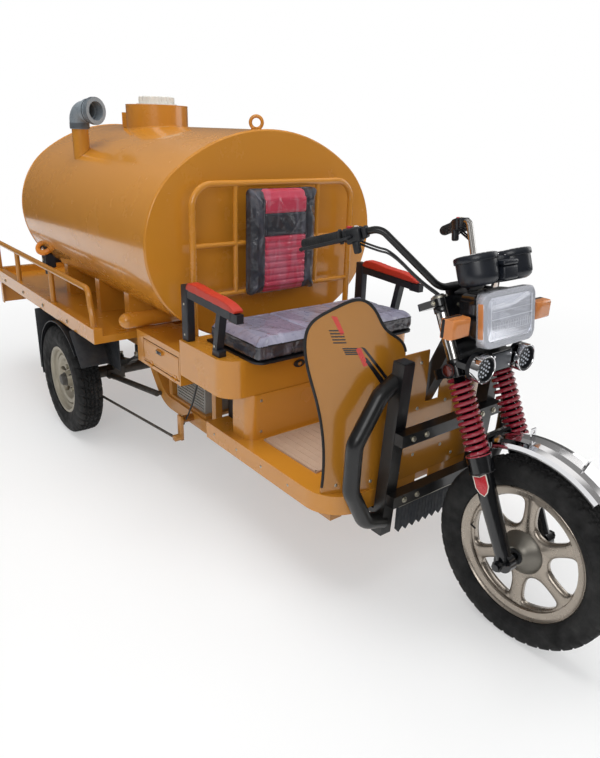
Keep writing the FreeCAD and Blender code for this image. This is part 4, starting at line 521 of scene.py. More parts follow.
class Shape:
    """A mesh under way, built from turned, swept and bevelled parts."""

    def __init__(self) -> None:
        """Starts an empty mesh."""
        self.mesh = bmesh.new()

    def take(self, part: bmesh.types.BMesh, finish: int = 0, place: Matrix | None = None) -> None:
        """Adds a part and frees it.

        Args:
            part: The part's own mesh, in metres.
            finish: Number of the finish it wears.
            place: Transform into the vehicle's frame.
        """
        if place:
            bmesh.ops.transform(part, matrix=place, verts=part.verts)
        for face in part.faces:
            face.material_index = finish
        mesh = mesh_of(part, "part")
        self.mesh.from_mesh(mesh)
        bpy.data.meshes.remove(mesh)

    def block(self, low: Point, high: Point, edge: float = 1.0, finish: int = 0, place: Matrix | None = None,
              segments: int = 2) -> None:
        """Adds a block with rounded edges.

        Args:
            low: Its lowest corner in millimetres from the rear axle, or from the place's origin.
            high: Its highest corner.
            edge: Radius of its edges in millimetres.
            finish: Number of its finish.
            place: Transform applied to a block drawn about its own origin.
            segments: Facets across each rounded edge.
        """
        part = bmesh.new()
        bmesh.ops.create_cube(part, size=1.0)
        start, end = (Vector(low) / 1000, Vector(high) / 1000) if place else (at(*low), at(*high))
        bmesh.ops.scale(part, vec=end - start, verts=part.verts)
        bmesh.ops.translate(part, vec=(start + end) / 2, verts=part.verts)
        bmesh.ops.bevel(part, geom=part.edges, offset=edge / 1000, affect="EDGES", segments=segments, profile=0.5,
                        material=-1)
        self.take(part, finish, place)

    def lathe(self, profile: Profile, centre: Point, axis: Vector, steps: int = 48, finish: int = 0,
              shape: Callable[[bmesh.types.BMesh], None] | None = None) -> None:
        """Adds a turned part.

        Args:
            profile: Pairs of millimetres along the axis and from it.
            centre: Where the axis starts.
            axis: Direction of the axis.
            steps: Facets round the axis.
            finish: Number of its finish.
            shape: Moves the vertices of the turned part, whose axis is then its own z.
        """
        part = bmesh.new()
        corners = [part.verts.new((out / 1000, 0.0, along / 1000)) for along, out in profile]
        edges = [part.edges.new(pair) for pair in zip(corners, corners[1:])]
        bmesh.ops.spin(part, geom=corners + edges, cent=(0, 0, 0), axis=(0, 0, 1), dvec=(0, 0, 0),
                       angle=math.tau, steps=steps, use_merge=True)
        bmesh.ops.remove_doubles(part, verts=part.verts, dist=1e-6)
        if shape:
            shape(part)
        self.take(part, finish, aimed(centre, axis))

    def rod(self, start: Point, end: Point, radius: float, tip: float | None = None, edge: float = 0.8,
            steps: int = 24, finish: int = 0) -> None:
        """Adds a round bar or cone with bevelled ends.

        Args:
            start: One end.
            end: The other end.
            radius: Its radius at the start.
            tip: Its radius at the end, where that differs.
            edge: Bevel of both ends.
            steps: Facets round it.
            finish: Number of its finish.
        """
        run = at(*end) - at(*start)
        far = run.length * 1000
        last = radius if tip is None else tip
        self.lathe([(0, 0), (0, radius - edge), (edge, radius), (far - edge, last), (far, last - edge), (far, 0)],
                   start, run, steps, finish)

    def bolt(self, centre: Point, axis: Vector, across: float = 13.0, height: float = 6.0, finish: int = 0) -> None:
        """Adds a hexagon head on its washer.

        Args:
            centre: Where the washer lies on the surface.
            axis: Direction that the head faces.
            across: Width over the hexagon's corners.
            height: Height of the head.
            finish: Number of its finish.
        """
        half = across / 2
        self.lathe([(0, 0), (0, half * 1.35), (1.4, half * 1.35), (1.4, 0)], centre, axis, 20, finish)
        self.lathe([(1.4, 0), (1.4, half), (height - 1, half), (height, half * 0.8), (height, 0)], centre, axis, 6,
                   finish)

    def ring(self, centre: Point, axis: Vector, radius: float, wire: float, steps: int = 72,
             finish: int = 0) -> None:
        """Adds a ring of round section about an axis: radius of its centre line, then of its wire."""
        turns = [math.tau * i / 10 for i in range(11)]
        self.lathe([(wire * math.sin(a), radius + wire * math.cos(a)) for a in turns], centre, axis, steps, finish)

    def hose(self, points: Sequence[Point], radius: float, finish: int = 0) -> None:
        """Adds a smooth round cable or bent rod.

        Args:
            points: Control points of its line.
            radius: Its radius.
            finish: Number of its finish.
        """
        curve = bpy.data.curves.new("line", "CURVE")
        curve.dimensions = "3D"
        spline = curve.splines.new("NURBS")
        spline.points.add(len(points) - 1)
        for point, place in zip(spline.points, points):
            point.co = (*at(*place), 1.0)
        spline.order_u = 3
        spline.use_endpoint_u = True
        spline.resolution_u = 10
        self.sweep(curve, radius, finish)

    def sweep(self, curve: bpy.types.Curve, radius: float, finish: int) -> None:
        """Adds a round section swept along a curve.

        Args:
            curve: Its line, which is removed.
            radius: Radius of the section.
            finish: Number of its finish.
        """
        curve.bevel_depth = radius / 1000
        curve.bevel_resolution = 2
        curve.use_fill_caps = True
        holder = bpy.data.objects.new("line", curve)
        mesh = bpy.data.meshes.new_from_object(holder)
        part = bmesh.new()
        part.from_mesh(mesh)
        bpy.data.objects.remove(holder)
        bpy.data.meshes.remove(mesh)
        self.take(part, finish)

    def bead(self, node: str, test: Callable[[bmesh.types.BMEdge], bool], radius: float, finish: int = 0) -> None:
        """Adds a weld or trim bead along edges of a carried-over solid.

        Args:
            node: The solid's name.
            test: Picks the edges that carry the bead.
            radius: Radius of the bead.
            finish: Number of its finish.
        """
        part = merged(node)
        drop = [edge for edge in part.edges if not test(edge)]
        bmesh.ops.delete(part, geom=drop, context="EDGES_FACES")
        bmesh.ops.delete(part, geom=[v for v in part.verts if not v.link_edges], context="VERTS")
        bmesh.ops.delete(part, geom=list(part.faces), context="FACES_ONLY")
        holder = put("seam", mesh_of(part, "seam"))
        for other in bpy.context.selected_objects:
            other.select_set(False)
        bpy.context.view_layer.objects.active = holder
        holder.select_set(True)
        bpy.ops.object.convert(target="CURVE")
        curve = holder.data
        bpy.data.objects.remove(holder)
        self.sweep(curve, radius, finish)

    def piece(self, name: str, body: str, slot: str, *finishes: Finish, sharp: float = 35.0) -> bpy.types.Object:
        """Closes the mesh and makes it a piece of the vehicle.

        Args:
            name: Name of the piece.
            body: Body that it rides on.
            slot: The record's material slot.
            *finishes: Finishes in the order of their numbers.
            sharp: Angle in degrees past which an edge stays sharp.

        Returns:
            The new object.
        """
        bmesh.ops.recalc_face_normals(self.mesh, faces=self.mesh.faces)
        mesh = mesh_of(self.mesh, name)
        for finish in finishes:
            mesh.materials.append(finish.build())
        mesh.shade_smooth()
        mesh.set_sharp_from_angle(angle=math.radians(sharp))
        made = put(name, mesh)
        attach(made, body)
        LOG.info("%s: %d faces on %s", name, len(mesh.polygons), body)
        return made


def merged(node: str) -> bmesh.types.BMesh:
    """A copy of a carried-over solid with its loose triangles joined.

    Args:
        node: The solid's name.

    Returns:
        The copy as a mesh under way.
    """
    part = bmesh.new()
    part.from_mesh(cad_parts[node].data)
    bmesh.ops.remove_doubles(part, verts=part.verts, dist=2e-5)
    return part


def aimed(place: Point, way: Vector, own: str = "Z", upright: str = "Y") -> Matrix:
    """Transform that sets a part down at a place and turns its own axis to a direction."""
    return Matrix.Translation(at(*place)) @ way.to_track_quat(own, upright).to_matrix().to_4x4()


def slice_at(part: bmesh.types.BMesh, place: Point | Vector, way: Point | Vector, drop: bool = True) -> None:
    """Cuts a mesh at a plane given in metres, and drops what lies past it unless told not to."""
    bmesh.ops.bisect_plane(part, geom=[*part.verts, *part.edges, *part.faces], plane_co=place, plane_no=way,
                           clear_outer=drop)


def raise_face(part: bmesh.types.BMesh, face: bmesh.types.BMFace, step: Point) -> None:
    """Extrudes a face into a plate by a step in metres."""
    grown = bmesh.ops.extrude_face_region(part, geom=[face])["geom"]
    bmesh.ops.translate(part, vec=step, verts=[g for g in grown if isinstance(g, bmesh.types.BMVert)])


def limits(node: str) -> tuple[float, float, float, float, float, float]:
    """Least and greatest x, then y, then z of a carried-over solid, in millimetres from the rear axle."""
    low, high = (from_axle(corner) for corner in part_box(node))
    return (low[0], high[0], low[1], high[1], low[2], high[2])


def middle(node: str) -> Point:
    """Middle of a carried-over solid in millimetres from the rear axle."""
    x0, x1, y0, y1, z0, z1 = limits(node)
    return ((x0 + x1) / 2, (y0 + y1) / 2, (z0 + z1) / 2)


def wear(finish: Finish, *nodes: str) -> None:
    """Gives carried-over solids their finish.

    Args:
        finish: What they wear.
        *nodes: Their names.
    """
    for node in nodes:
        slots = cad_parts[node].data.materials
        slots.clear()
        slots.append(finish.build())
        LOG.info("%s wears %s", node, finish.name)


def two_tone(node: str, name: str, body: str, slot: str, start: Vector, way: Vector, *finishes: Finish) -> None:
    """Puts a copy in place of a carried-over solid, which changes its finish at a plane.

    Args:
        node: The solid's name.
        name: Name of the piece.
        body: Body that it rides on.
        slot: The record's material slot.
        start: A place on the plane.
        way: Direction square to the plane.
        *finishes: The finish behind the plane, then the one past it.
    """
    part = merged(node)
    slice_at(part, start, way, drop=False)
    shape = Shape()
    shape.take(part)
    for face in shape.mesh.faces:
        face.material_index = int((face.calc_center_median() - start).dot(way) > 0)
    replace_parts(shape.piece(name, body, slot, *finishes), node)


def facing(degrees: float, lift: float = 0.0) -> Vector:
    """Unit direction at degrees in plan from straight ahead to the left, and lifted above the level."""
    a, b = math.radians(degrees), math.radians(lift)
    return Vector((math.cos(a) * math.cos(b), math.sin(a) * math.cos(b), math.sin(b)))


@dataclass
class Tank:
    """Oval drum with its neck, cap, elbow and valve."""

    neck_r: float = 152.0
    neck_bead: float = 3.5
    head_bead: float = 2.6
    cap_r: float = 85.0
    lip_r: float = 58.0
    elbow_r: float = 44.0
    vent: tuple[float, float] = (-80.0, -406.0)
    elbow_turn: float = 20.0

    def build(self) -> None:
        """Dresses the drum and adds its welds and small parts."""
        wear(ENAMEL, "tank_shell", "tank_heads", "tank_pipes", "tank_cradles")
        wear(PE_WHITE, "filler_cap")
        wear(PVC_GREY, "vent_elbow")
        wear(IRON_DARK, "drain_valve")
        self.welds()
        self.cap_rings()
        self.elbow_rings()
        self.valve_ring()

    def welds(self) -> None:
        """Weld beads round both heads and the neck's foot."""
        shape = Shape()
        low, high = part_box("tank_heads")
        inner = (high.x - 0.008, low.x + 0.008)
        x = middle("filler_cap")[0]
        neck = at(x, 0, 0)

        def rim(edge: bmesh.types.BMEdge) -> bool:
            """Says whether an edge of a head lies where it meets the shell."""
            return edge.calc_face_angle(0) > 0.3 and any(
                all(abs(v.co.x - x) < 2e-4 for v in edge.verts) for x in inner)

        def foot(edge: bmesh.types.BMEdge) -> bool:
            """Says whether an edge lies where the neck leaves the shell."""
            return all(abs(math.hypot(v.co.x - neck.x, v.co.y) - self.neck_r / 1000) < 4e-4
                       and high.z - 0.06 < v.co.z < high.z + 0.004 for v in edge.verts)

        shape.bead("tank_heads", rim, self.head_bead)
        shape.bead("tank_shell", foot, self.neck_bead)
        shape.ring((x, 0, limits("tank_shell")[5] - 2.2), UP, self.neck_r - 2, 2.6, 96)
        shape.piece("tank_welds", "chassis", "ochre_paint", ENAMEL)

    def cap_rings(self) -> None:
        """Moulded rings and a small disc on the cap's top, and ribs round its side."""
        x, y, _ = middle("filler_cap")
        top = limits("filler_cap")[5]
        shape = Shape()
        for radius in (self.cap_r - 12, self.cap_r - 34):
            shape.ring((x, y, top - 0.6), UP, radius, 1.6, 64)
        shape.lathe([(0, 0), (0, 14), (0.8, 13), (0.8, 0)], (x, y, top), UP, 32)
        for i in range(40):
            a = math.tau * i / 40
            spot = (x + (self.cap_r + 0.3) * math.cos(a), y + (self.cap_r + 0.3) * math.sin(a))
            shape.rod((*spot, top - 24), (*spot, top - 3), 2.0, edge=0.6, steps=8)
        shape.piece("cap_rings", "chassis", "white_plastic", PE_WHITE)

    def elbow_rings(self) -> None:
        """Thread on the vent below the elbow, and the socket's raised rings."""
        *_, low, high = limits("vent_elbow")
        x, y = self.vent
        ahead = facing(self.elbow_turn)
        shape = Shape()
        for out, radius in ((99, self.lip_r), (107, self.lip_r), (115, self.lip_r), (80, self.lip_r - 5)):
            shape.ring((x + out * ahead.x, y + out * ahead.y, high - self.lip_r), ahead, radius + 0.2, 1.5, 56, 1)
        for i in range(5):
            shape.ring((x, y, low + 5 + 5 * i), UP, self.elbow_r + 0.6, 1.6, 48, 1)
        shape.piece("elbow_rings", "chassis", "grey_plastic", PVC_GREY, PVC_DARK)

    def valve_ring(self) -> None:
        """Orange dipped grip over the valve's hand ring, with its nut and bolts."""
        shape = Shape()
        x, y = middle("drain_valve")[0], limits("drain_valve")[2] + 70
        shape.bolt((x, y - 44, 796), Vector((0, -1, 0)), 20, 9)
        for side in (-1, 1):
            shape.bolt((x + side * 22, y - 44, 772), Vector((0, -1, 0)), 9, 5)
        shape.ring((x, y - 35, 858), Vector((0.45, -0.55, 0.7)), 35.5, 14.6, 48, 1)
        shape.piece("valve_trim", "chassis", "valve_iron", ZINC, RING_ORANGE)


@dataclass
class Bed:
    """Open bed with its rails, rear panel and tail lamps."""

    lamp_y: float = 480.0
    lamp_half_w: float = 85.0
    lamp_low: float = 462.0
    lamp_high: float = 548.0
    back_x: float = -1146.0
    rail_y: float = 602.0
    rail_z: float = 811.0
    rail_front: float = 364.0
    deck_z: float = 647.0
    posts: tuple[float, float, float] = (-1060.0, -670.0, -112.0)

    def build(self) -> None:
        """Dresses the bed and adds lamp housings, tube caps and bolts."""
        wear(ENAMEL, "bed", "rear_panel")
        self.rails()
        wear(LENS_RED, "tail_lamps")
        self.lamp_frames()
        self.tube_caps()

    def rails(self) -> None:
        """Round tube rails whose front ends bend down to the bed, on round posts."""
        shape = Shape()
        for side in (-1, 1):
            y = side * self.rail_y
            x = self.rail_front
            shape.hose([(-1083, y, self.rail_z), (-1060, y, self.rail_z), (-500, y, self.rail_z),
                        (x - 60, y, self.rail_z), (x + 14, y, self.rail_z), (x + 22, y, self.rail_z - 78),
                        (x + 40, y, self.deck_z + 40), (x + 43, y, self.deck_z)], 13.6)
            for post in self.posts:
                shape.rod((post, y, self.deck_z), (post, y, self.rail_z - 2), 13.0, steps=24)
                shape.ring((post, y, self.deck_z + 1), UP, 13.6, 2.2, 32)
            shape.ring((x + 43, y, self.deck_z + 1), UP, 14, 2.2, 32)
        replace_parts(shape.piece("tube_rails", "chassis", "ochre_paint", ENAMEL_LOW), "bed_rails")

    def lamp_frames(self) -> None:
        """Black surround, chrome divider and screws on each tail lamp."""
        shape = Shape()
        x0, x1 = self.back_x + 8, self.back_x + 25.6
        for side in (-1, 1):
            near, far = sorted((side * (self.lamp_y - self.lamp_half_w), side * (self.lamp_y + self.lamp_half_w)))
            shape.block((x0, near - 4, self.lamp_high - 3), (x1, far + 4, self.lamp_high + 4), 2)
            shape.block((x0, near - 4, self.lamp_low - 4), (x1, far + 4, self.lamp_low + 3), 2)
            for y in (near, far):
                shape.block((x0, y - 4, self.lamp_low - 4), (x1, y + 4, self.lamp_high + 4), 2)
            split = side * (self.lamp_y + self.lamp_half_w / 3)
            shape.block((self.back_x - 0.4, split - 1.5, self.lamp_low + 6), (x1, split + 1.5, self.lamp_high - 6),
                        0.6, 1)
            for y in (near + 12, far - 12):
                shape.lathe([(0, 0), (0, 4), (1.2, 3.4), (1.2, 0)], (self.back_x + 0.4, y, 505),
                            Vector((-1, 0, 0)), 20, 1)
        shape.piece("tail_lamp_frames", "chassis", "black_plastic", PP_BLACK, CHROME)

    def tube_caps(self) -> None:
        """Plastic caps in the open ends of the rails, and bolts of the rear panel."""
        shape = Shape()
        for side in (-1, 1):
            y = side * (limits("bed_rails")[3] - 13)
            shape.block((-1082.5, y - 12.4, 799.6), (-1079.6, y + 12.4, 824.4), 1.2)
            for x in (-900, -560, -230, 120):
                shape.bolt((x, side * 622, 606), Vector((0, side, 0)), 14, 6, 1)
        for y in (-560, -300, 300, 560):
            shape.bolt((-1120, y, 566), Vector((-1, 0, 0)), 13, 6, 1)
        for y in (-90, 90):
            for z in (459, 543):
                shape.bolt((-1125, y, z), Vector((-1, 0, 0)), 8, 3.5, 1)
        shape.piece("bed_fasteners", "chassis", "black_plastic", PP_BLACK, ZINC)


@dataclass
class Tyre:
    """Tyre with its grooved tread, which stands for a plain solid."""

    node: str
    body: str
    radius: float
    width: float
    rim_r: float
    rim_w: float
    pitches: int
    steps: int = 6
    groove: float = 5.0
    zigzag: float = 0.35

    def outline(self) -> list[tuple[float, float]]:
        """Half section from the crown to the bead.

        Returns:
            Pairs of distance from the middle and radius.
        """
        half, rise = self.width / 2, self.radius - self.rim_r
        crown = [(half * 0.72 * i / 11, self.radius - 2.2 * (i / 11) ** 2) for i in range(12)]
        flank = [(0.8, 0.055), (0.88, 0.12), (0.93, 0.17), (0.945, 0.2), (0.95, 0.23), (0.975, 0.32), (0.995, 0.42),
                 (1.0, 0.52), (0.99, 0.6), (0.975, 0.64), (0.985, 0.655), (0.965, 0.68), (0.93, 0.76), (0.86, 0.88)]
        side = [(half * across, self.radius - rise * down) for across, down in flank]
        bead = [(self.rim_w / 2 + 5, self.rim_r + 5), (self.rim_w / 2 + 1, self.rim_r + 0.6),
                (self.rim_w / 2 - 8, self.rim_r + 0.5)]
        return crown + side + bead

    def cut(self, part: bmesh.types.BMesh) -> None:
        """Sinks the grooves into the turned tyre.

        Args:
            part: The tyre about its own z.
        """
        half = self.width / 2000
        for vertex in part.verts:
            out = math.hypot(vertex.co.x, vertex.co.y)
            across = abs(vertex.co.z) / half
            down = (self.radius / 1000 - out) / (self.radius - self.rim_r) * 1000
            if down > 0.24:
                continue
            turn = (math.atan2(vertex.co.y, vertex.co.x) / math.tau * self.pitches) % 1.0
            side = 0.5 if vertex.co.z > 0 else 0.0
            sink = self.depth(turn, side, across)
            if sink:
                vertex.co.xy *= 1.0 - sink / 1000 / out

    def depth(self, turn: float, side: float, across: float) -> float:
        """Millimetres that the tread is sunk at a place.

        Args:
            turn: Share of one pitch round the tyre.
            side: Half a pitch on the left side, so that the blocks stagger.
            across: Distance from the middle as a share of the half width.

        Returns:
            The depth there.
        """
        wave = self.zigzag * (abs(((turn * 2) % 1.0) - 0.5) * 2 - 0.5)
        if abs(across - 0.16 - wave * 0.4) < 0.055 or abs(across - 0.47 - wave * 0.3) < 0.05:
            return self.groove
        slant = (turn + side + across * 0.6) % 1.0
        if across > 0.2 and abs(slant - 0.5) < 0.1:
            return self.groove * (1.0 if across < 0.8 else 0.7)
        if across < 0.12 and abs(((turn + 0.25) * 2) % 1.0 - 0.5) < 0.14:
            return self.groove * 0.6
        return 0.0

    def build(self) -> None:
        """Turns the tyre, cuts its tread and sets it in the solid's place."""
        half = self.outline()
        inner = [(-a, r) for a, r in half[::-1]]
        shape = Shape()
        shape.lathe(inner[:-1] + half, middle(self.node), Vector((0, 1, 0)), self.pitches * self.steps,
                    shape=self.cut)
        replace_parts(shape.piece(self.node + "_tread", self.body, "tyre_rubber", TYRE, sharp=28), self.node)


@dataclass
class FrontWheel:
    """Cast wheel with its tyre, valve and hub covers."""

    body: str = "front_wheel"
    hub_half: float = 52.0
    rim_half: float = 33.0
    rim_r: float = 217.5
    well: float = 196.0
    valve_r: float = 197.0
    spokes: int = 6
    spoke_w: float = 41.0
    window: tuple[float, float, float] = (84.0, 134.0, 181.0)
    roundness: float = 4.0

    def reach(self, turn: float, width: float, inner: float, outer: float) -> list[float]:
        """How far the sides of a window lie from its middle in one direction.

        Args:
            turn: The direction, in radians from straight out.
            width: Width of the spokes beside it.
            inner: Radius of its inner side.
            outer: Radius of its outer side.

        Returns:
            The distances to its sides that lie that way.
        """
        mid = self.window[1]
        u, v = math.cos(turn), math.sin(turn)
        half = math.pi / self.spokes
        gone = [-mid * u + math.sqrt((mid * u) ** 2 - mid * mid + outer * outer)]
        for sign in (-1, 1):
            nearing = -u * math.sin(half) + sign * v * math.cos(half)
            if nearing > 0.02:
                gone.append((mid * math.sin(half) - width / 2) / nearing)
        if u < -0.02:
            gone.append((mid - inner) / -u)
        return gone

    def web(self) -> bmesh.types.BMesh:
        """Crowned spokes with rounded windows between them.

        Returns:
            Their mesh about the wheel's own z.
        """
        half = math.pi / self.spokes
        mid = self.window[1]
        sector = (0.0, 60.0, self.well - 1.5)
        corners = []
        for radius in (sector[2], sector[1] / math.cos(half)):
            corners.append(math.atan2(radius * math.sin(half), radius * math.cos(half) - mid))
        turns = sorted([math.tau * i / 60 for i in range(60)] + [c % math.tau for a in corners for c in (a, -a)])
        part = bmesh.new()
        for spoke in range(self.spokes):
            aim = math.tau * spoke / self.spokes
            loops = []
            for share, lift in ((1.0, 15.5), (0.62, 14.6), (0.3, 12.6), (0.1, 9.8), (0.0, 6.0), (0.0, -6.0),
                                (0.1, -9.8), (0.3, -12.6), (0.62, -14.6), (1.0, -15.5)):
                ring = []
                for turn in turns:
                    full = min(self.reach(turn, *sector))
                    sides = self.reach(turn, self.spoke_w, self.window[0], self.window[2])
                    gap = sum(d ** -self.roundness for d in sides) ** (-1 / self.roundness)
                    out = gap + (full - gap) * share
                    x, y = mid + out * math.cos(turn), out * math.sin(turn)
                    ring.append(part.verts.new(((x * math.cos(aim) - y * math.sin(aim)) / 1000,
                                                (x * math.sin(aim) + y * math.cos(aim)) / 1000, lift / 1000)))
                loops.append([part.edges.new((ring[i - 1], ring[i])) for i in range(len(ring))])
            for near, far in zip(loops, loops[1:]):
                bmesh.ops.bridge_loops(part, edges=near + far)
        bmesh.ops.remove_doubles(part, verts=part.verts, dist=1e-5)
        return part

    def casting(self) -> None:
        """Rim with rolled lips, spokes and a domed hub, in place of the plain solid."""
        centre = middle("front_rim")
        h, r = self.rim_half, self.rim_r
        way = Vector((0, 1, 0))
        shape = Shape()
        outer = [(14, self.well), (h - 9, r - 11.5), (h - 7, r - 1), (h - 4, r + 1), (h - 1, r), (h + 0.4, r - 2.5),
                 (h - 1.5, r - 5), (h - 5, r - 8), (h - 7, r - 14), (h - 9, self.well - 7), (h - 14, self.well - 10),
                 (17, self.well - 5.5)]
        shape.lathe([*outer, *[(-a, b) for a, b in outer[::-1]], outer[0]], centre, way, 120)
        shape.take(self.web(), 0, aimed(centre, way))
        dome = [(52, 12.2), (52, 28), (50.6, 31.5), (46, 36), (40, 44), (33, 54), (27, 61), (22, 65.5), (17, 70),
                (0, 76)]
        # The domed hub wears finish 1, a darker grey than the spokes: painted shade
        shape.lathe([*dome, *[(-a, b) for a, b in dome[-2::-1]]], centre, way, 96, 1)
        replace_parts(shape.piece("front_casting", self.body, "wheel_silver", CAST_SILVER, HUB_GREY_SHADED, sharp=50),
                    "front_rim")

    def build(self) -> None:
        """Casts the wheel and adds the tyre and fittings."""
        self.casting()
        Tyre("front_tyre", self.body, 300, 100, 218, 66, 44, steps=10).build()
        centre = middle("front_rim")
        shape = Shape()
        for side in (-1, 1):
            way = Vector((0, side, 0))
            face = (centre[0], side * (self.hub_half - 0.2), centre[2])
            shape.lathe([(0, 26), (2.6, 25), (2.6, 17), (1, 15), (0.6, 12.4)], face, way, 48, 1)
        shape.lathe([(0, 0), (0, 4.2), (14, 3.6), (15, 2.6), (24, 2.6), (25, 3.2), (33, 3.0), (34, 0)],
                    (centre[0] - self.valve_r, -16, centre[2]), Vector((0.93, -0.36, 0)), 20, 1)
        shape.piece("front_hub_fittings", self.body, "steel", ZINC, RUBBER)


@dataclass
class RearWheel:
    """Pressed disc wheel with its tyre, nuts and dust cap."""

    side: int
    name: str
    bolt_circle: float = 62.0
    nuts: int = 5

    def build(self) -> None:
        """Dresses the disc and adds tyre, nuts, cap and valve."""
        body, rim = "rear_wheel_" + self.name, "rear_rim_" + self.name
        wear(DISC_SILVER, rim)
        Tyre("rear_tyre_" + self.name, body, 274, 124, 169.5, 96, 36, steps=10, groove=6.5, zigzag=0.3).build()
        x, y, z = middle("rear_tyre_" + self.name)
        way = Vector((0, self.side, 0))
        shape = Shape()
        for i in range(self.nuts):
            a = math.tau * (i + 0.5) / self.nuts
            place = (x + self.bolt_circle * math.sin(a), y + self.side * 2, z + self.bolt_circle * math.cos(a))
            shape.bolt(place, way, 25, 12)
        hub = (x, y + self.side * 33.6, z)
        shape.lathe([(0, 35), (3, 35), (4, 31), (16, 28), (22, 24), (24, 16), (24, 0)], hub, way, 48, 1)
        shape.lathe([(0, 0), (0, 4), (24, 3.2), (25, 2.6), (31, 2.6), (31, 0)], (x + 118, y + self.side * 22, z + 62),
                    Vector((0, self.side, 0)), 20, 2)
        shape.piece("rear_hub_fittings_" + self.name, body, "steel", ZINC, CHASSIS_BLACK, RUBBER)


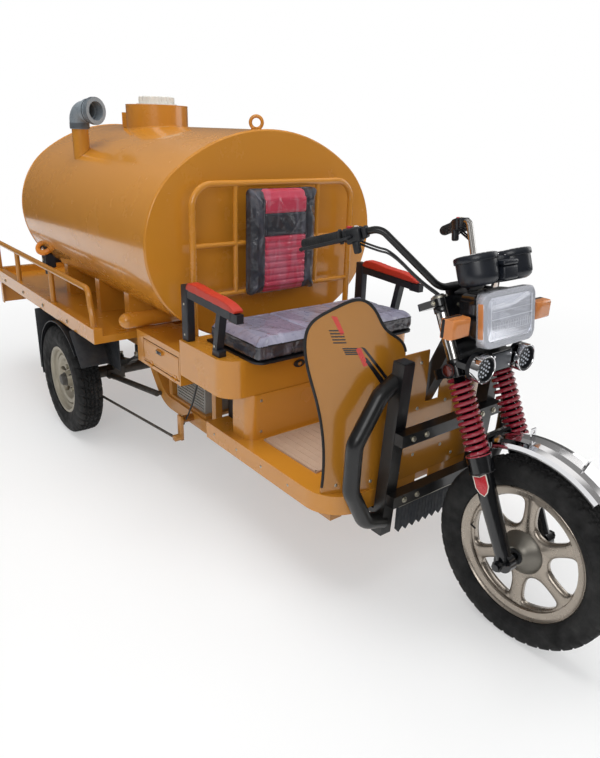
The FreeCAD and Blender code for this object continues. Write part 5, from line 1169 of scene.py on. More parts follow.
@dataclass
class Fork:
    """Steered fork with its springs, yokes, fender and badges."""

    rake: float = 25.9
    leg_y: float = 100.0
    spring_r: float = 31.0
    wire_r: float = 6.5
    turns: int = 12
    spring_low: float = 330.0
    spring_top: float = 572.0
    cup_r: float = 38.0
    sleeve_r: float = 21.5
    sleeve: tuple[float, float] = (606.0, 788.0)
    hem_r: float = 340.0
    badge_turn: float = 1.25

    def along(self, up: float, y: float = 0.0, ahead: float = 0.0) -> Point:
        """A point on the fork.

        Args:
            up: Millimetres up the legs from the axle.
            y: To the left.
            ahead: Ahead of the legs' line.

        Returns:
            The point from the rear axle.
        """
        x, _, z = middle("front_tyre")
        a = math.radians(self.rake)
        return (x - up * math.sin(a) + ahead * math.cos(a), y, z + up * math.cos(a) + ahead * math.sin(a))

    @property
    def axis(self) -> Vector:
        """Direction up the legs."""
        a = math.radians(self.rake)
        return Vector((-math.sin(a), 0, math.cos(a)))

    @property
    def forward(self) -> Vector:
        """Direction ahead, square to the legs."""
        a = math.radians(self.rake)
        return Vector((math.cos(a), 0, math.sin(a)))

    def build(self) -> None:
        """Dresses the fork and adds springs, dust seals, nuts and badges."""
        wear(GLOSS_BLACK, "fork_lowers", "fork_yokes", "lamp_bracket", "front_axle")
        wear(CHROME, "front_fender")
        two_tone("fork_stanchions", "fork_tubes", "steering", "chrome", at(*self.along(self.spring_top + 3.5)),
                 self.axis, GLOSS_BLACK, CHROME)
        self.springs()
        self.small_parts()
        self.badges()
        self.fender_trim()

    def springs(self) -> None:
        """Both springs, wound from round wire, with closed ends."""
        shape = Shape()
        for side in (-1, 1):
            part = bmesh.new()
            steps = 22
            rise = (self.spring_top - self.spring_low - 2 * self.wire_r - 1) / 1000
            corners = []
            for i in range(10):
                a = math.tau * i / 10
                corners.append(part.verts.new(((self.spring_r + self.wire_r * math.cos(a)) / 1000, 0.0,
                                               self.wire_r * math.sin(a) / 1000)))
            edges = [part.edges.new((corners[i - 1], corners[i])) for i in range(10)]
            bmesh.ops.spin(part, geom=corners + edges, cent=(0, 0, 0), axis=(0, 0, 1),
                           dvec=(0, 0, rise / (steps * self.turns)), angle=math.tau * self.turns,
                           steps=steps * self.turns)
            bmesh.ops.holes_fill(part, edges=[edge for edge in part.edges if edge.is_boundary], sides=0)
            foot = self.along(self.spring_low + self.wire_r + 0.5, side * self.leg_y)
            shape.take(part, 0, aimed(foot, self.axis))
        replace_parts(shape.piece("fork_coils", "steering", "spring_red", SPRING_RED), "fork_springs")

    def small_parts(self) -> None:
        """Dust seals, clamp bolts, stem nut, axle nuts and spring cups' rolled edges."""
        shape = Shape()
        for side in (-1, 1):
            y = side * self.leg_y
            shape.ring(self.along(self.spring_low, y), self.axis, self.cup_r - 1.5, 2.4, 48, 3)
            shape.ring(self.along(278, y), self.axis, self.cup_r - 0.8, 2.2, 48, 1)
            up, top = self.sleeve
            shape.lathe([(0, 18.1), (0, self.sleeve_r - 1), (1, self.sleeve_r), (top - up - 1, self.sleeve_r),
                         (top - up, self.sleeve_r - 1), (top - up, 18.1)], self.along(up, y), self.axis, 48, 4)
            for end in (up, top - 20):
                shape.lathe([(0, 18.2), (0, self.sleeve_r + 2.6), (2, self.sleeve_r + 3.4), (18, self.sleeve_r + 3.4),
                             (20, self.sleeve_r + 2), (20, 18.2)], self.along(end, y), self.axis, 48, 1)
            shape.lathe([(0, 18.4), (0, 26), (6, 25), (8, 21), (8, 18.4)], self.along(800 + 11.2, y), self.axis, 40, 0)
            shape.lathe([(0, 0), (0, 20), (5, 19), (8, 12), (8, 0)], self.along(816, y), self.axis, 36, 2)
            for up in (590, 800):
                shape.bolt(self.along(up, side * 130.2), Vector((0, side, 0)), 11, 7)
            shape.bolt((middle("front_axle")[0], side * 138, middle("front_axle")[2]), Vector((0, side, 0)), 26, 13,
                       1)
        shape.lathe([(0, 0), (0, 22), (3, 22), (3, 17), (13, 17), (15, 14), (15, 0)], self.along(811, 0, -42),
                    self.axis, 6, 2)
        for y in (-60, 60):
            for up in (610, 780):
                shape.bolt(self.along(up, y, 31), self.forward, 10, 5)
        shape.piece("fork_fittings", "steering", "steel", ZINC, GLOSS_BLACK, CHROME, SPRING_RED, SLEEVE)

    def badges(self) -> None:
        """Blank shield plates on the lower legs, red with a pale border."""
        shape = Shape()
        a = math.radians(self.rake)
        for side in (-1, 1):
            for grow, thick, finish in ((3.0, 2.0, 1), (0.0, 3.2, 0)):
                part = bmesh.new()
                half, low, high = 18 + grow, -34 - grow, 27 + grow
                rim = [(-half, high), (0, high - 5), (half, high), (half, low * 0.2), (half * 0.6, low * 0.7),
                       (0, low), (-half * 0.6, low * 0.7), (-half, low * 0.2)]
                face = part.faces.new([part.verts.new((0, u / 1000, v / 1000)) for u, v in rim])
                raise_face(part, face, (thick / 1000, 0, 0))
                bmesh.ops.bevel(part, geom=[e for e in part.edges if e.calc_face_angle(0) > 1], offset=0.0006,
                                affect="EDGES", segments=2, profile=0.5, material=-1)
                turned = Matrix.Rotation(-a, 4, "Y") @ Matrix.Rotation(side * self.badge_turn, 4, "Z")
                foot = Matrix.Translation(at(*self.along(246, side * self.leg_y)))
                shape.take(part, finish, foot @ turned @ Matrix.Translation((0.0285, 0, 0)))
        shape.piece("fork_badges", "steering", "red_plastic", BADGE_RED, BADGE_PALE)

    def fender_trim(self) -> None:
        """Rolled edge along both sides of the fender, and its stay bolts."""
        shape = Shape()
        hub = at(*middle("front_tyre"))
        reach = self.hem_r / 1000

        def hem(edge: bmesh.types.BMEdge) -> bool:
            """Says whether an edge is on the blade's lower rims."""
            return edge.calc_face_angle(0) > 0.5 and all(abs(v.co.y) > 0.0508 and abs(
                math.hypot(v.co.x - hub.x, v.co.z - hub.z) - reach) < 6e-4 for v in edge.verts)

        shape.bead("front_fender", hem, 2.4)
        for side in (-1, 1):
            for ahead in (-8, 8):
                shape.bolt(self.along(330, side * (self.leg_y - 42), ahead), Vector((0, -side, 0)), 9, 4, 1)
        shape.piece("fender_hem", "steering", "chrome", CHROME, ZINC)


@dataclass
class Lamps:
    """Headlamp, spot lamps, turn lamps and reflectors."""

    face_x: float = 2086.06
    mid_z: float = 1003.05
    tilt: float = 8.0
    half_w: float = 104.0
    half_h: float = 64.0
    lens_half_w: float = 123.6
    lens_half_h: float = 82.6
    bezel_t: float = 22.0
    spot_y: float = 98.0
    spot_z: float = 862.05
    spot_front: float = 2098.06
    signal_y: float = 196.0
    signal_z: float = 991.05
    signal_half_w: float = 38.0
    signal_half_h: float = 28.0

    def tilted(self) -> Matrix:
        """Transform of a part drawn about the headlamp's face."""
        return Matrix.Translation(at(self.face_x, 0, self.mid_z)) @ Matrix.Rotation(-math.radians(self.tilt), 4, "Y")

    def build(self) -> None:
        """Dresses the lamps and builds lens, bowl, bulb, faces and rings."""
        ahead = self.tilted().to_3x3() @ AHEAD
        two_tone("headlamp_shell", "headlamp_body", "steering", "chrome",
                 self.tilted() @ Vector((-(self.bezel_t + 0.5) / 1000, 0, 0)), ahead, GLOSS_BLACK, REFLECTOR)
        two_tone("amber_lamps", "turn_lamps", "steering", "amber_plastic", at(0, 0, 900), UP,
                 REFLEX_MAROON, LENS_AMBER)
        wear(PP_BLACK, "spot_lamps")
        self.lens()
        self.ridges()
        self.bowl()
        self.spots()
        self.signals()

    def lens(self) -> None:
        """Domed fluted lens with its skirt."""
        lens = Shape()
        part = bmesh.new()
        bmesh.ops.create_grid(part, x_segments=64, y_segments=120, size=0.5)
        bmesh.ops.scale(part, vec=(2 * self.lens_half_h / 1000, 2 * self.lens_half_w / 1000, 1), verts=part.verts)
        for vertex in part.verts:
            u, v = vertex.co.x * 1000 / self.lens_half_h, vertex.co.y * 1000 / self.lens_half_w
            pull = max(0.0, abs(u) ** 5 + abs(v) ** 5 - 0.9) * 0.075
            vertex.co.x *= 1 - pull
            vertex.co.y *= 1 - pull
            drop = max(abs(u), abs(v)) ** 7
            vertex.co.z = 0.0105 - 0.0035 * (u * u + v * v) - 0.0065 * drop + self.prisms(u, v)
        walls = [edge for edge in part.edges if edge.is_boundary]
        skirt = bmesh.ops.extrude_edge_only(part, edges=walls)["geom"]
        rim = [g for g in skirt if isinstance(g, bmesh.types.BMVert)]
        bmesh.ops.translate(part, vec=(0, 0, -0.026), verts=rim)
        upright = Matrix.Rotation(math.pi / 2, 4, "Y")
        lens.take(part, 0, self.tilted() @ upright)
        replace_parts(lens.piece("headlamp_lens", "steering", "lamp_glass", LENS_CLEAR), "headlamp_glass")

    def bowl(self) -> None:
        """Bowl behind the lens with its bulb, and amber strips in its sides."""
        bowl = Shape()
        part = bmesh.new()
        bmesh.ops.create_cube(part, size=1.0)
        bmesh.ops.scale(part, vec=(0.026, 2 * self.half_w / 1000 - 0.002, 2 * self.half_h / 1000 - 0.002),
                        verts=part.verts)
        front = [face for face in part.faces if face.normal.x > 0.9]
        bmesh.ops.delete(part, geom=front, context="FACES_ONLY")
        back = [vertex for vertex in part.verts if vertex.co.x < 0]
        bmesh.ops.scale(part, vec=(1, 0.5, 0.5), verts=back)
        bmesh.ops.reverse_faces(part, faces=part.faces)
        bmesh.ops.bevel(part, geom=[edge for edge in part.edges if not edge.is_boundary], offset=0.012,
                        affect="EDGES", segments=4, profile=0.5, material=-1)
        bmesh.ops.translate(part, vec=(-0.0175, 0, 0), verts=part.verts)
        bowl.take(part, 0, self.tilted())
        bowl.lathe([(0, 0), (0, 16), (3, 14), (8, 11), (18, 10), (22, 7), (23, 0)],
                   from_axle(self.tilted() @ Vector((-0.026, 0, 0))), facing(0, self.tilt), 32, 1)
        for side in (-1, 1):
            near, far = sorted((side * (self.lens_half_w - 2.2), side * (self.lens_half_w - 0.6)))
            bowl.block((-20, near, -50), (-3, far, 50), 0.6, 2, self.tilted())
        bowl.piece("headlamp_bowl", "steering", "chrome", REFLECTOR, LENS_CLEAR, LENS_AMBER)

    def ridges(self) -> None:
        """Painted highlights of the lens in opaque near-white: six level ridges, short upright flutes in the lower
        half and two upright lines at the sides.
        """
        shape = Shape()
        level = [(2.0, 96, 0.9), (-34.0, 88, 0.6), (-18.0, 92, 0.45), (24.0, 92, 0.5), (-50.0, 74, 0.6),
                 (-62.0, 84, 0.8)]
        for z, half, thick in level:
            self.bar(shape, (z, -half), (z + 2, half), thick)
        for i in range(15):
            y = -84 + 12 * i
            self.bar(shape, (-30, y), (-8, y + 1.5), 0.45)
        for y in (-97, 97):
            self.bar(shape, (-58, y), (56, y), 0.7)
        shape.piece("headlamp_ridge_glints", "steering", "lamp_glass", LENS_RIDGE_GLINT)

    def bar(self, shape: Shape, start: tuple[float, float], end: tuple[float, float], thick: float) -> None:
        """Lays a thin ridge on the lens.

        Args:
            shape: Shape that gets it.
            start: Height and place across of one end, from the lens's middle.
            end: The same of the other end.
            thick: Its radius.
        """
        ends = [self.tilted() @ Vector((0.0098 - 0.0035 * ((z / self.lens_half_h) ** 2 + (y / self.lens_half_w) ** 2),
                                        y / 1000, z / 1000)) for z, y in (start, end)]
        shape.rod(*map(from_axle, ends), thick, edge=0.2, steps=8)

    def prisms(self, down: float, across: float) -> float:
        """Relief of the lens: upright flutes below its middle line, and a few level ridges.

        Args:
            down: Place from the middle downwards, as a share of the half height.
            across: Place from the middle to the left, as a share of the half width.

        Returns:
            Metres that the face stands proud there.
        """
        if max(abs(down), abs(across)) > 0.9:
            return 0.0
        ridge = sum(math.exp(-((down - line) / 0.022) ** 2) for line in (0.06, 0.42, 0.72, -0.5))
        flute = 0.5 + 0.5 * math.cos(across * math.pi * 22) if down > 0.06 else 0.5 + 0.5 * math.cos(across * 16)
        return 0.0011 * ridge + (0.0008 if down > 0.06 else 0.0004) * flute

    def spots(self) -> None:
        """Chrome rings, dark faces with bright diodes, and the blank middle plate."""
        shape = Shape()
        for side in (-1, 1):
            y = side * self.spot_y
            shape.lathe([(-27, 42.1), (-26, 43), (-1, 43.2), (1.2, 42.4), (2.2, 40.6), (1.4, 38.6), (0.1, 38)],
                        (self.spot_front, y, self.spot_z), AHEAD, 64)
            for count, radius in ((12, 25), (6, 13), (1, 0)):
                for i in range(count):
                    a = math.tau * i / count
                    place = (self.spot_front - 9.2, y + radius * math.sin(a), self.spot_z + radius * math.cos(a))
                    shape.lathe([(0, 3.4), (1.6, 3.0), (2.6, 1.8), (3.0, 0)], place, AHEAD, 16, 1)
            for i in range(16):
                a = math.tau * i / 16
                place = (2057, y + 40.6 * math.sin(a), self.spot_z + 40.6 * math.cos(a))
                shape.rod(place, (2070, place[1], place[2]), 2.6, edge=0.8, steps=8, finish=2)
        shape.block((2076.4, -46, self.spot_z - 22), (2080, 46, self.spot_z + 30), 1.4, 3)
        for y in (-38, 38):
            for z in (-14, 22):
                shape.lathe([(0, 0), (0, 4), (1.4, 3), (1.4, 0)], (2079.6, y, self.spot_z + z), AHEAD, 20)
        shape.piece("spot_lamp_faces", "steering", "chrome", CHROME, DIODE, PP_BLACK, PLATE_GREY)

    def signals(self) -> None:
        """Chrome backs and rims of the turn lamps, and rims of the reflectors."""
        shape = Shape()
        for side in (-1, 1):
            y = side * self.signal_y
            shape.block((2026.8, y - self.signal_half_w - 1.2, self.signal_z - self.signal_half_h - 1.2),
                        (2043, y + self.signal_half_w + 1.2, self.signal_z + self.signal_half_h + 1.2), 6, 1,
                        segments=4)
            foot = side * (self.signal_y - self.signal_half_w)
            shape.rod((2038, foot - side * 9, self.signal_z - 1), (2038, foot + side * 2, self.signal_z - 1), 12,
                      edge=2, steps=32, finish=1)
            shape.ring(Fork().along(596.5, side * 138.2, -4), Vector((0, side, 0)), 19.2, 1.7, 48, 1)
        shape.piece("signal_rims", "steering", "chrome", CHROME, PP_BLACK)


@dataclass
class Instruments:
    """Two dials in their cups with the key switch between them."""

    foot: Point = (2025.56, 80.0, 1090.65)
    lean: float = 20.0
    floor_h: float = 79.0
    dial_r: float = 48.0
    box_top: float = 1168.65

    def build(self) -> None:
        """Dresses the housings and adds dials, needles, glass and key switch."""
        wear(ABS_BLACK, "gauge_pods")
        a = math.radians(self.lean)
        up = Vector((-math.sin(a), 0, math.cos(a)))
        side_way = Vector((math.cos(a), 0, math.sin(a)))
        shape = Shape()
        for side in (-1, 1):
            base = at(self.foot[0], side * self.foot[1], self.foot[2]) + up * (self.floor_h / 1000)

            def place(out: float, degrees: float, lift: float) -> Point:
                """A point on the dial.

                Args:
                    out: Millimetres from its middle.
                    degrees: Angle from its foot.
                    lift: Millimetres above its card.

                Returns:
                    The point from the rear axle.
                """
                t = math.radians(degrees)
                spot = base + (side_way * -math.cos(t) + Vector((0, 1, 0)) * math.sin(t)) * (out / 1000)
                return from_axle(spot + up * (lift / 1000))

            shape.lathe([(0, 0), (0, self.dial_r), (0.8, self.dial_r - 0.5), (0.8, 0)], place(0, 0, 0), up, 64, 0)
            for i in range(25):
                t = -120 + 10 * i
                long = i % 4 == 0
                shape.rod(place(44, t, 1.0), place(36 if long else 40, t, 1.0), 1.1 if long else 0.7, edge=0.2,
                          steps=6, finish=1)
            shape.rod(place(10, 150, 2.4), place(33, -70 * side, 2.4), 1.2, 0.5, 0.2, 8, 2)
            shape.lathe([(0, 0), (0, 8), (4, 6), (4, 0)], place(0, 0, 1), up, 32, 3)
            shape.lathe([(4.5, 0), (4.5, self.dial_r), (5.5, self.dial_r), (5.5, 0)], place(0, 0, 0), up, 64, 4)
            shape.ring(place(0, 0, 6.8), up, self.dial_r + 4.5, 2.2, 72, 5)
        shape.lathe([(0, 0), (0, 13), (3, 13), (5, 11), (5, 4), (2, 3.4), (2, 0)], (2003, 0, self.box_top), UP, 40, 5)
        for x, y in ((1984, -26), (1984, 26), (2022, -26), (2022, 26)):
            shape.lathe([(0, 0), (0, 4.4), (1.6, 3.6), (1.6, 0)], (x, y, self.box_top), UP, 20, 5)
        self.drums(up)
        shape.piece("dials", "steering", "black_plastic", DIAL_FACE, DIAL_MARK, NEEDLE, PP_BLACK, DIAL_GLASS, CHROME)

    def drums(self, up: Vector) -> None:
        """Drum walls with rounded feet and stepped lids round both cups, and the lidded box before them.

        Args:
            up: Direction of the cups' axis.
        """
        shape = Shape()
        for side in (-1, 1):
            shape.lathe([(-1.5, 22), (-1, 36), (3, 46), (10, 53.5), (20, 57.3), (32, 58), (67.5, 58), (67.5, 61.4),
                         (69, 62.2), (82, 62.2), (85.5, 60), (86.4, 56.8), (86.3, 54)],
                        (self.foot[0], side * self.foot[1], self.foot[2]), up, 72)
        tilt = Matrix.Translation(at(2064, -8, 1108)) @ Matrix.Rotation(-math.radians(self.lean) * 0.6, 4, "Y")
        shape.block((-40, -32, 0), (16, 32, 40), 7, 0, tilt, 4)
        shape.block((-40, -34, 41), (18, 34, 57), 7, 0, tilt, 4)
        shape.piece("instrument_drums", "steering", "black_plastic", ABS_BLACK)


@dataclass
class Bars:
    """Handlebar, black on the right run and bright on the left, with grips and controls."""

    end: Point = (1537.56, 330.0, 1153.65)
    bend: Point = (1741.56, 206.0, 1221.65)

    def spot(self, side: int, t: float) -> Point:
        """A point on a bar's last run.

        Args:
            side: Minus one for the right bar.
            t: Millimetres from its end towards the middle.

        Returns:
            The point from the rear axle.
        """
        run = Vector(self.bend) - Vector(self.end)
        spot = Vector(self.end) + run.normalized() * t
        return (spot.x, side * spot.y, spot.z)

    def build(self) -> None:
        """Splits the bar into its two finishes and adds grips, switches and levers' ends."""
        wear(PP_BLACK, "bar_controls")
        two_tone("handlebar", "bar_tube", "steering", "chrome", at(MIDDLE, 60, 0), Vector((0, 1, 0)),
                 POWDER_BLACK, SLEEVE)
        self.grips()
        self.switches()

    def grips(self) -> None:
        """Ribbed rubber grips with a flange and a closed end."""
        shape = Shape()
        rings = [(7 + 6.0 * i + d, 17.0 + h) for i in range(18) for d, h in ((0, 0), (0.8, 1.3), (3.6, 1.3), (4.4, 0))]
        profile = [(-6, 0), (-6, 12), (-4, 15.5), (0, 17), *rings, (118, 17), (119, 23), (125, 23), (127, 18),
                   (128, 11.6)]
        for side in (-1, 1):
            start, ahead = self.spot(side, 0), self.spot(side, 100)
            shape.lathe(profile, start, at(*ahead) - at(*start), 36)
        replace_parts(shape.piece("rubber_grips", "steering", "rubber_sheet", RUBBER), "grips")

    def switches(self) -> None:
        """Switch buttons, housing seams, lever balls and cable sleeves."""
        shape = Shape()
        for side in (-1, 1):
            a, b = self.spot(side, 140), self.spot(side, 176)
            way = at(*b) - at(*a)
            shape.lathe([(0, 20.9), (0.4, 21.8), (1.8, 21.8), (2.2, 20.9)], self.spot(side, 157), way, 40)
            housing = aimed(self.spot(side, 168), way, "X", "Z")
            shape.block((-26, -25, -27), (22, 21, 19), 7, 0, housing, 3)
            shape.block((24, -19, -19), (40, 19, 17), 5, 0, housing, 3)
            shape.block((-8, -30, -58), (14, -8, -20), 6, 0, housing, 3)
            x, y, z = self.spot(side, 150)
            shape.block((x - 9, y - 7, z + 18), (x + 7, y + 6, z + 26), 2, 1, segments=3)
            x, y, z = self.spot(side, 170)
            shape.block((x - 6, y - 5, z + 18), (x + 6, y + 6, z + 24), 2, 2, segments=3)
            tip = self.spot(side, 4)
            shape.lathe([(-7, 0), (-5, 5), (0, 7), (5, 5), (7, 0)], (tip[0] + 32, tip[1] + side * 42, tip[2] - 8),
                        Vector((0, 1, 0)), 24, 3)
        shape.piece("switch_trim", "steering", "black_plastic", PP_BLACK, BADGE_RED, BADGE_PALE, RUBBER)
        shape = Shape()
        for side in (-1, 1):
            x, y, z = self.spot(side, 178)
            for drop, spread in ((0, 0), (9, 7)):
                shape.hose([(x, y, z - 20 - drop), (x + 60, y - side * 22, z - 36 - drop),
                            (1770 + spread, side * 186, 1160 - drop), (1850 + spread, side * 134, 1078 - drop),
                            (1905 + spread, side * 96, 1040 - drop), (1925 + spread, side * 66, 1000),
                            (1940 + spread, side * 60, 930)], 3.4)
            for i in range(4):
                shape.hose([(1935 - 9 * i, side * (70 - 13 * i), 1050 - 3 * i),
                            (1965 - 6 * i, side * (64 - 8 * i), 1062 + 4 * i),
                            (1992, side * (52 + 6 * i), 1040 - 5 * i), (2000, side * (46 + 9 * i), 990),
                            (1986 - 4 * i, side * (44 + 4 * i), 948)], 4.2)
        shape.piece("bar_cables", "steering", "black_plastic", CABLE_BLACK)


@dataclass
class LegShield:
    """Swept leg shield with its rubber edge and printed stripes."""

    foot_z: float = 390.0
    face_x: float = 1835.0
    mid_w: float = 150.0
    sweep: float = 0.0013
    trim_r: float = 4.6
    film: float = 0.5

    def build(self) -> None:
        """Dresses the shield and adds trim, stripes and screws."""
        # The shield wears a darker copy of the enamel: painted shade
        wear(SHIELD_OCHRE_SHADED, "leg_shield")
        self.trim()
        self.stripes()
        self.screws()

    def front(self, y: float) -> float:
        """Place of the shield's front face, as x in millimetres at a distance across."""
        return self.face_x - self.sweep * max(0.0, abs(y) - self.mid_w) ** 2

    def trim(self) -> None:
        """Rubber edging round both wings."""
        shape = Shape()
        low = self.foot_z / 1000 + 0.012

        def rim(edge: bmesh.types.BMEdge) -> bool:
            """Says whether an edge is in front on the wings' outer outline."""
            return edge.calc_face_angle(0) > 0.5 and all(abs(v.co.y) > 0.1505 and v.co.z > low and abs(
                from_axle(v.co)[0] - self.front(v.co.y * 1000)) < 0.9 for v in edge.verts)

        shape.bead("leg_shield", rim, self.trim_r)
        shape.piece("shield_edging", "chassis", "rubber_sheet", RUBBER)

    def stripe(self, shape: Shape, corners: Sequence[Point], finish: int) -> None:
        """Lays a film patch on the wing's front face, and its mirror image.

        Args:
            shape: Shape that gets the patch.
            corners: Four places round the patch on the right wing.
            finish: Number of its finish.
        """
        for side in (1, -1):
            ring = [at(x, y * side, z) for x, y, z in corners]
            mid = sum(ring, Vector()) / 4
            out = (ring[2] - ring[0]).cross(ring[3] - ring[1]).normalized()
            out = out if out.x > 0 else -out
            part = merged("leg_shield")
            for start, end in zip(ring, ring[1:] + ring[:1]):
                away = (end - start).cross(out)
                away = away if away.dot(start - mid) > 0 else -away
                slice_at(part, start, away)
            back = [face for face in part.faces if face.normal.dot(out) < 0.5]
            bmesh.ops.delete(part, geom=back, context="FACES")
            bmesh.ops.translate(part, vec=out * (self.film / 1000), verts=part.verts)
            shape.take(part, finish)

    def stripes(self) -> None:
        """Red and black slanting bars and two fields of thin lines."""
        shape = Shape()
        red = [[(1756, -397, 985), (1765, -382, 982), (1777, -361, 933), (1773, -369, 925)],
               [(1793, -329, 885), (1801, -312, 884), (1811, -287, 828), (1806, -300, 823)]]
        black = [[(1801, -312, 887), (1806, -300, 883), (1830, -213, 776), (1828, -223, 771)],
                 [(1803, -306, 855), (1809, -292, 851), (1829, -219, 761), (1826, -233, 751)]]
        for finish, patches in enumerate((red, black)):
            for corners in patches:
                self.stripe(shape, corners, finish)
        fields = [((-401, 942), (-366, 942), -47, 5), ((-364, 886), (-323, 885), -24, 4)]
        for (y0, z0), (y1, z1), drop, lines in fields:
            for i in range(lines):
                top = drop * i / lines
                rows = [(y0 + 3 * i, z0 + top), (y1 + 3 * i, z1 + top), (y1 + 3 * i + 1, z1 + top - 4),
                        (y0 + 3 * i + 1, z0 + top - 4)]
                self.stripe(shape, [(self.front(y), y, z) for y, z in rows], 1)
        shape.piece("shield_stripes", "chassis", "ochre_paint", FILM_RED, FILM_BLACK, sharp=60)

    def screws(self) -> None:
        """Domed screws down the shield's middle and along its foot."""
        shape = Shape()
        for side in (-1, 1):
            for y, z in ((70, 800), (70, 640), (70, 470), (135, 420), (250, 420), (360, 420)):
                shape.lathe([(0, 0), (0, 6.5), (1.6, 5.6), (3, 3.4), (3.4, 0)], (self.front(y) - 0.2, side * y, z),
                            AHEAD, 24)
        shape.piece("shield_screws", "chassis", "steel", ZINC)


@dataclass
class Bumper:
    """Black bumper with its tube ends, bolts and toothed flap."""

    post_y: float = 225.0

    def build(self) -> None:
        """Dresses the bumper and adds caps, bolts, a clamp strip and the flap's ribs."""
        wear(POWDER_BLACK, "bumper")
        wear(FLAP_RUBBER, "mud_flap")
        shape = Shape()
        for side in (-1, 1):
            y = side * self.post_y
            shape.block((1877.5, y - 22.4, 851.4), (1922.5, y + 22.4, 855), 1.4)
            shape.block((1839.5, y - 22.4, 241), (1884.5, y + 22.4, 244.6), 1.4)
            for z, x in ((608, 1943), (386, 1929)):
                for inset in (0, -60):
                    shape.bolt((x, side * (self.post_y + inset - 26), z), AHEAD, 15, 7, 1)
            for x in (1800, 1835):
                shape.bolt((x, y, 320), UP, 13, 6, 1)
        for y in (-170, -60, 60, 170):
            shape.bolt((1905, y, 352), AHEAD, 13, 5, 1)
        shape.block((1905, -196, 344), (1907.4, 196, 360), 0.8, 1)
        for i in range(24):
            y = -192 + i * 16.7
            shape.block((1904.4, y - 1.6, 268), (1906.2, y + 1.6, 340), 0.6, 2)
        shape.piece("bumper_trim", "chassis", "black_paint", PP_BLACK, ZINC, FLAP_RUBBER)


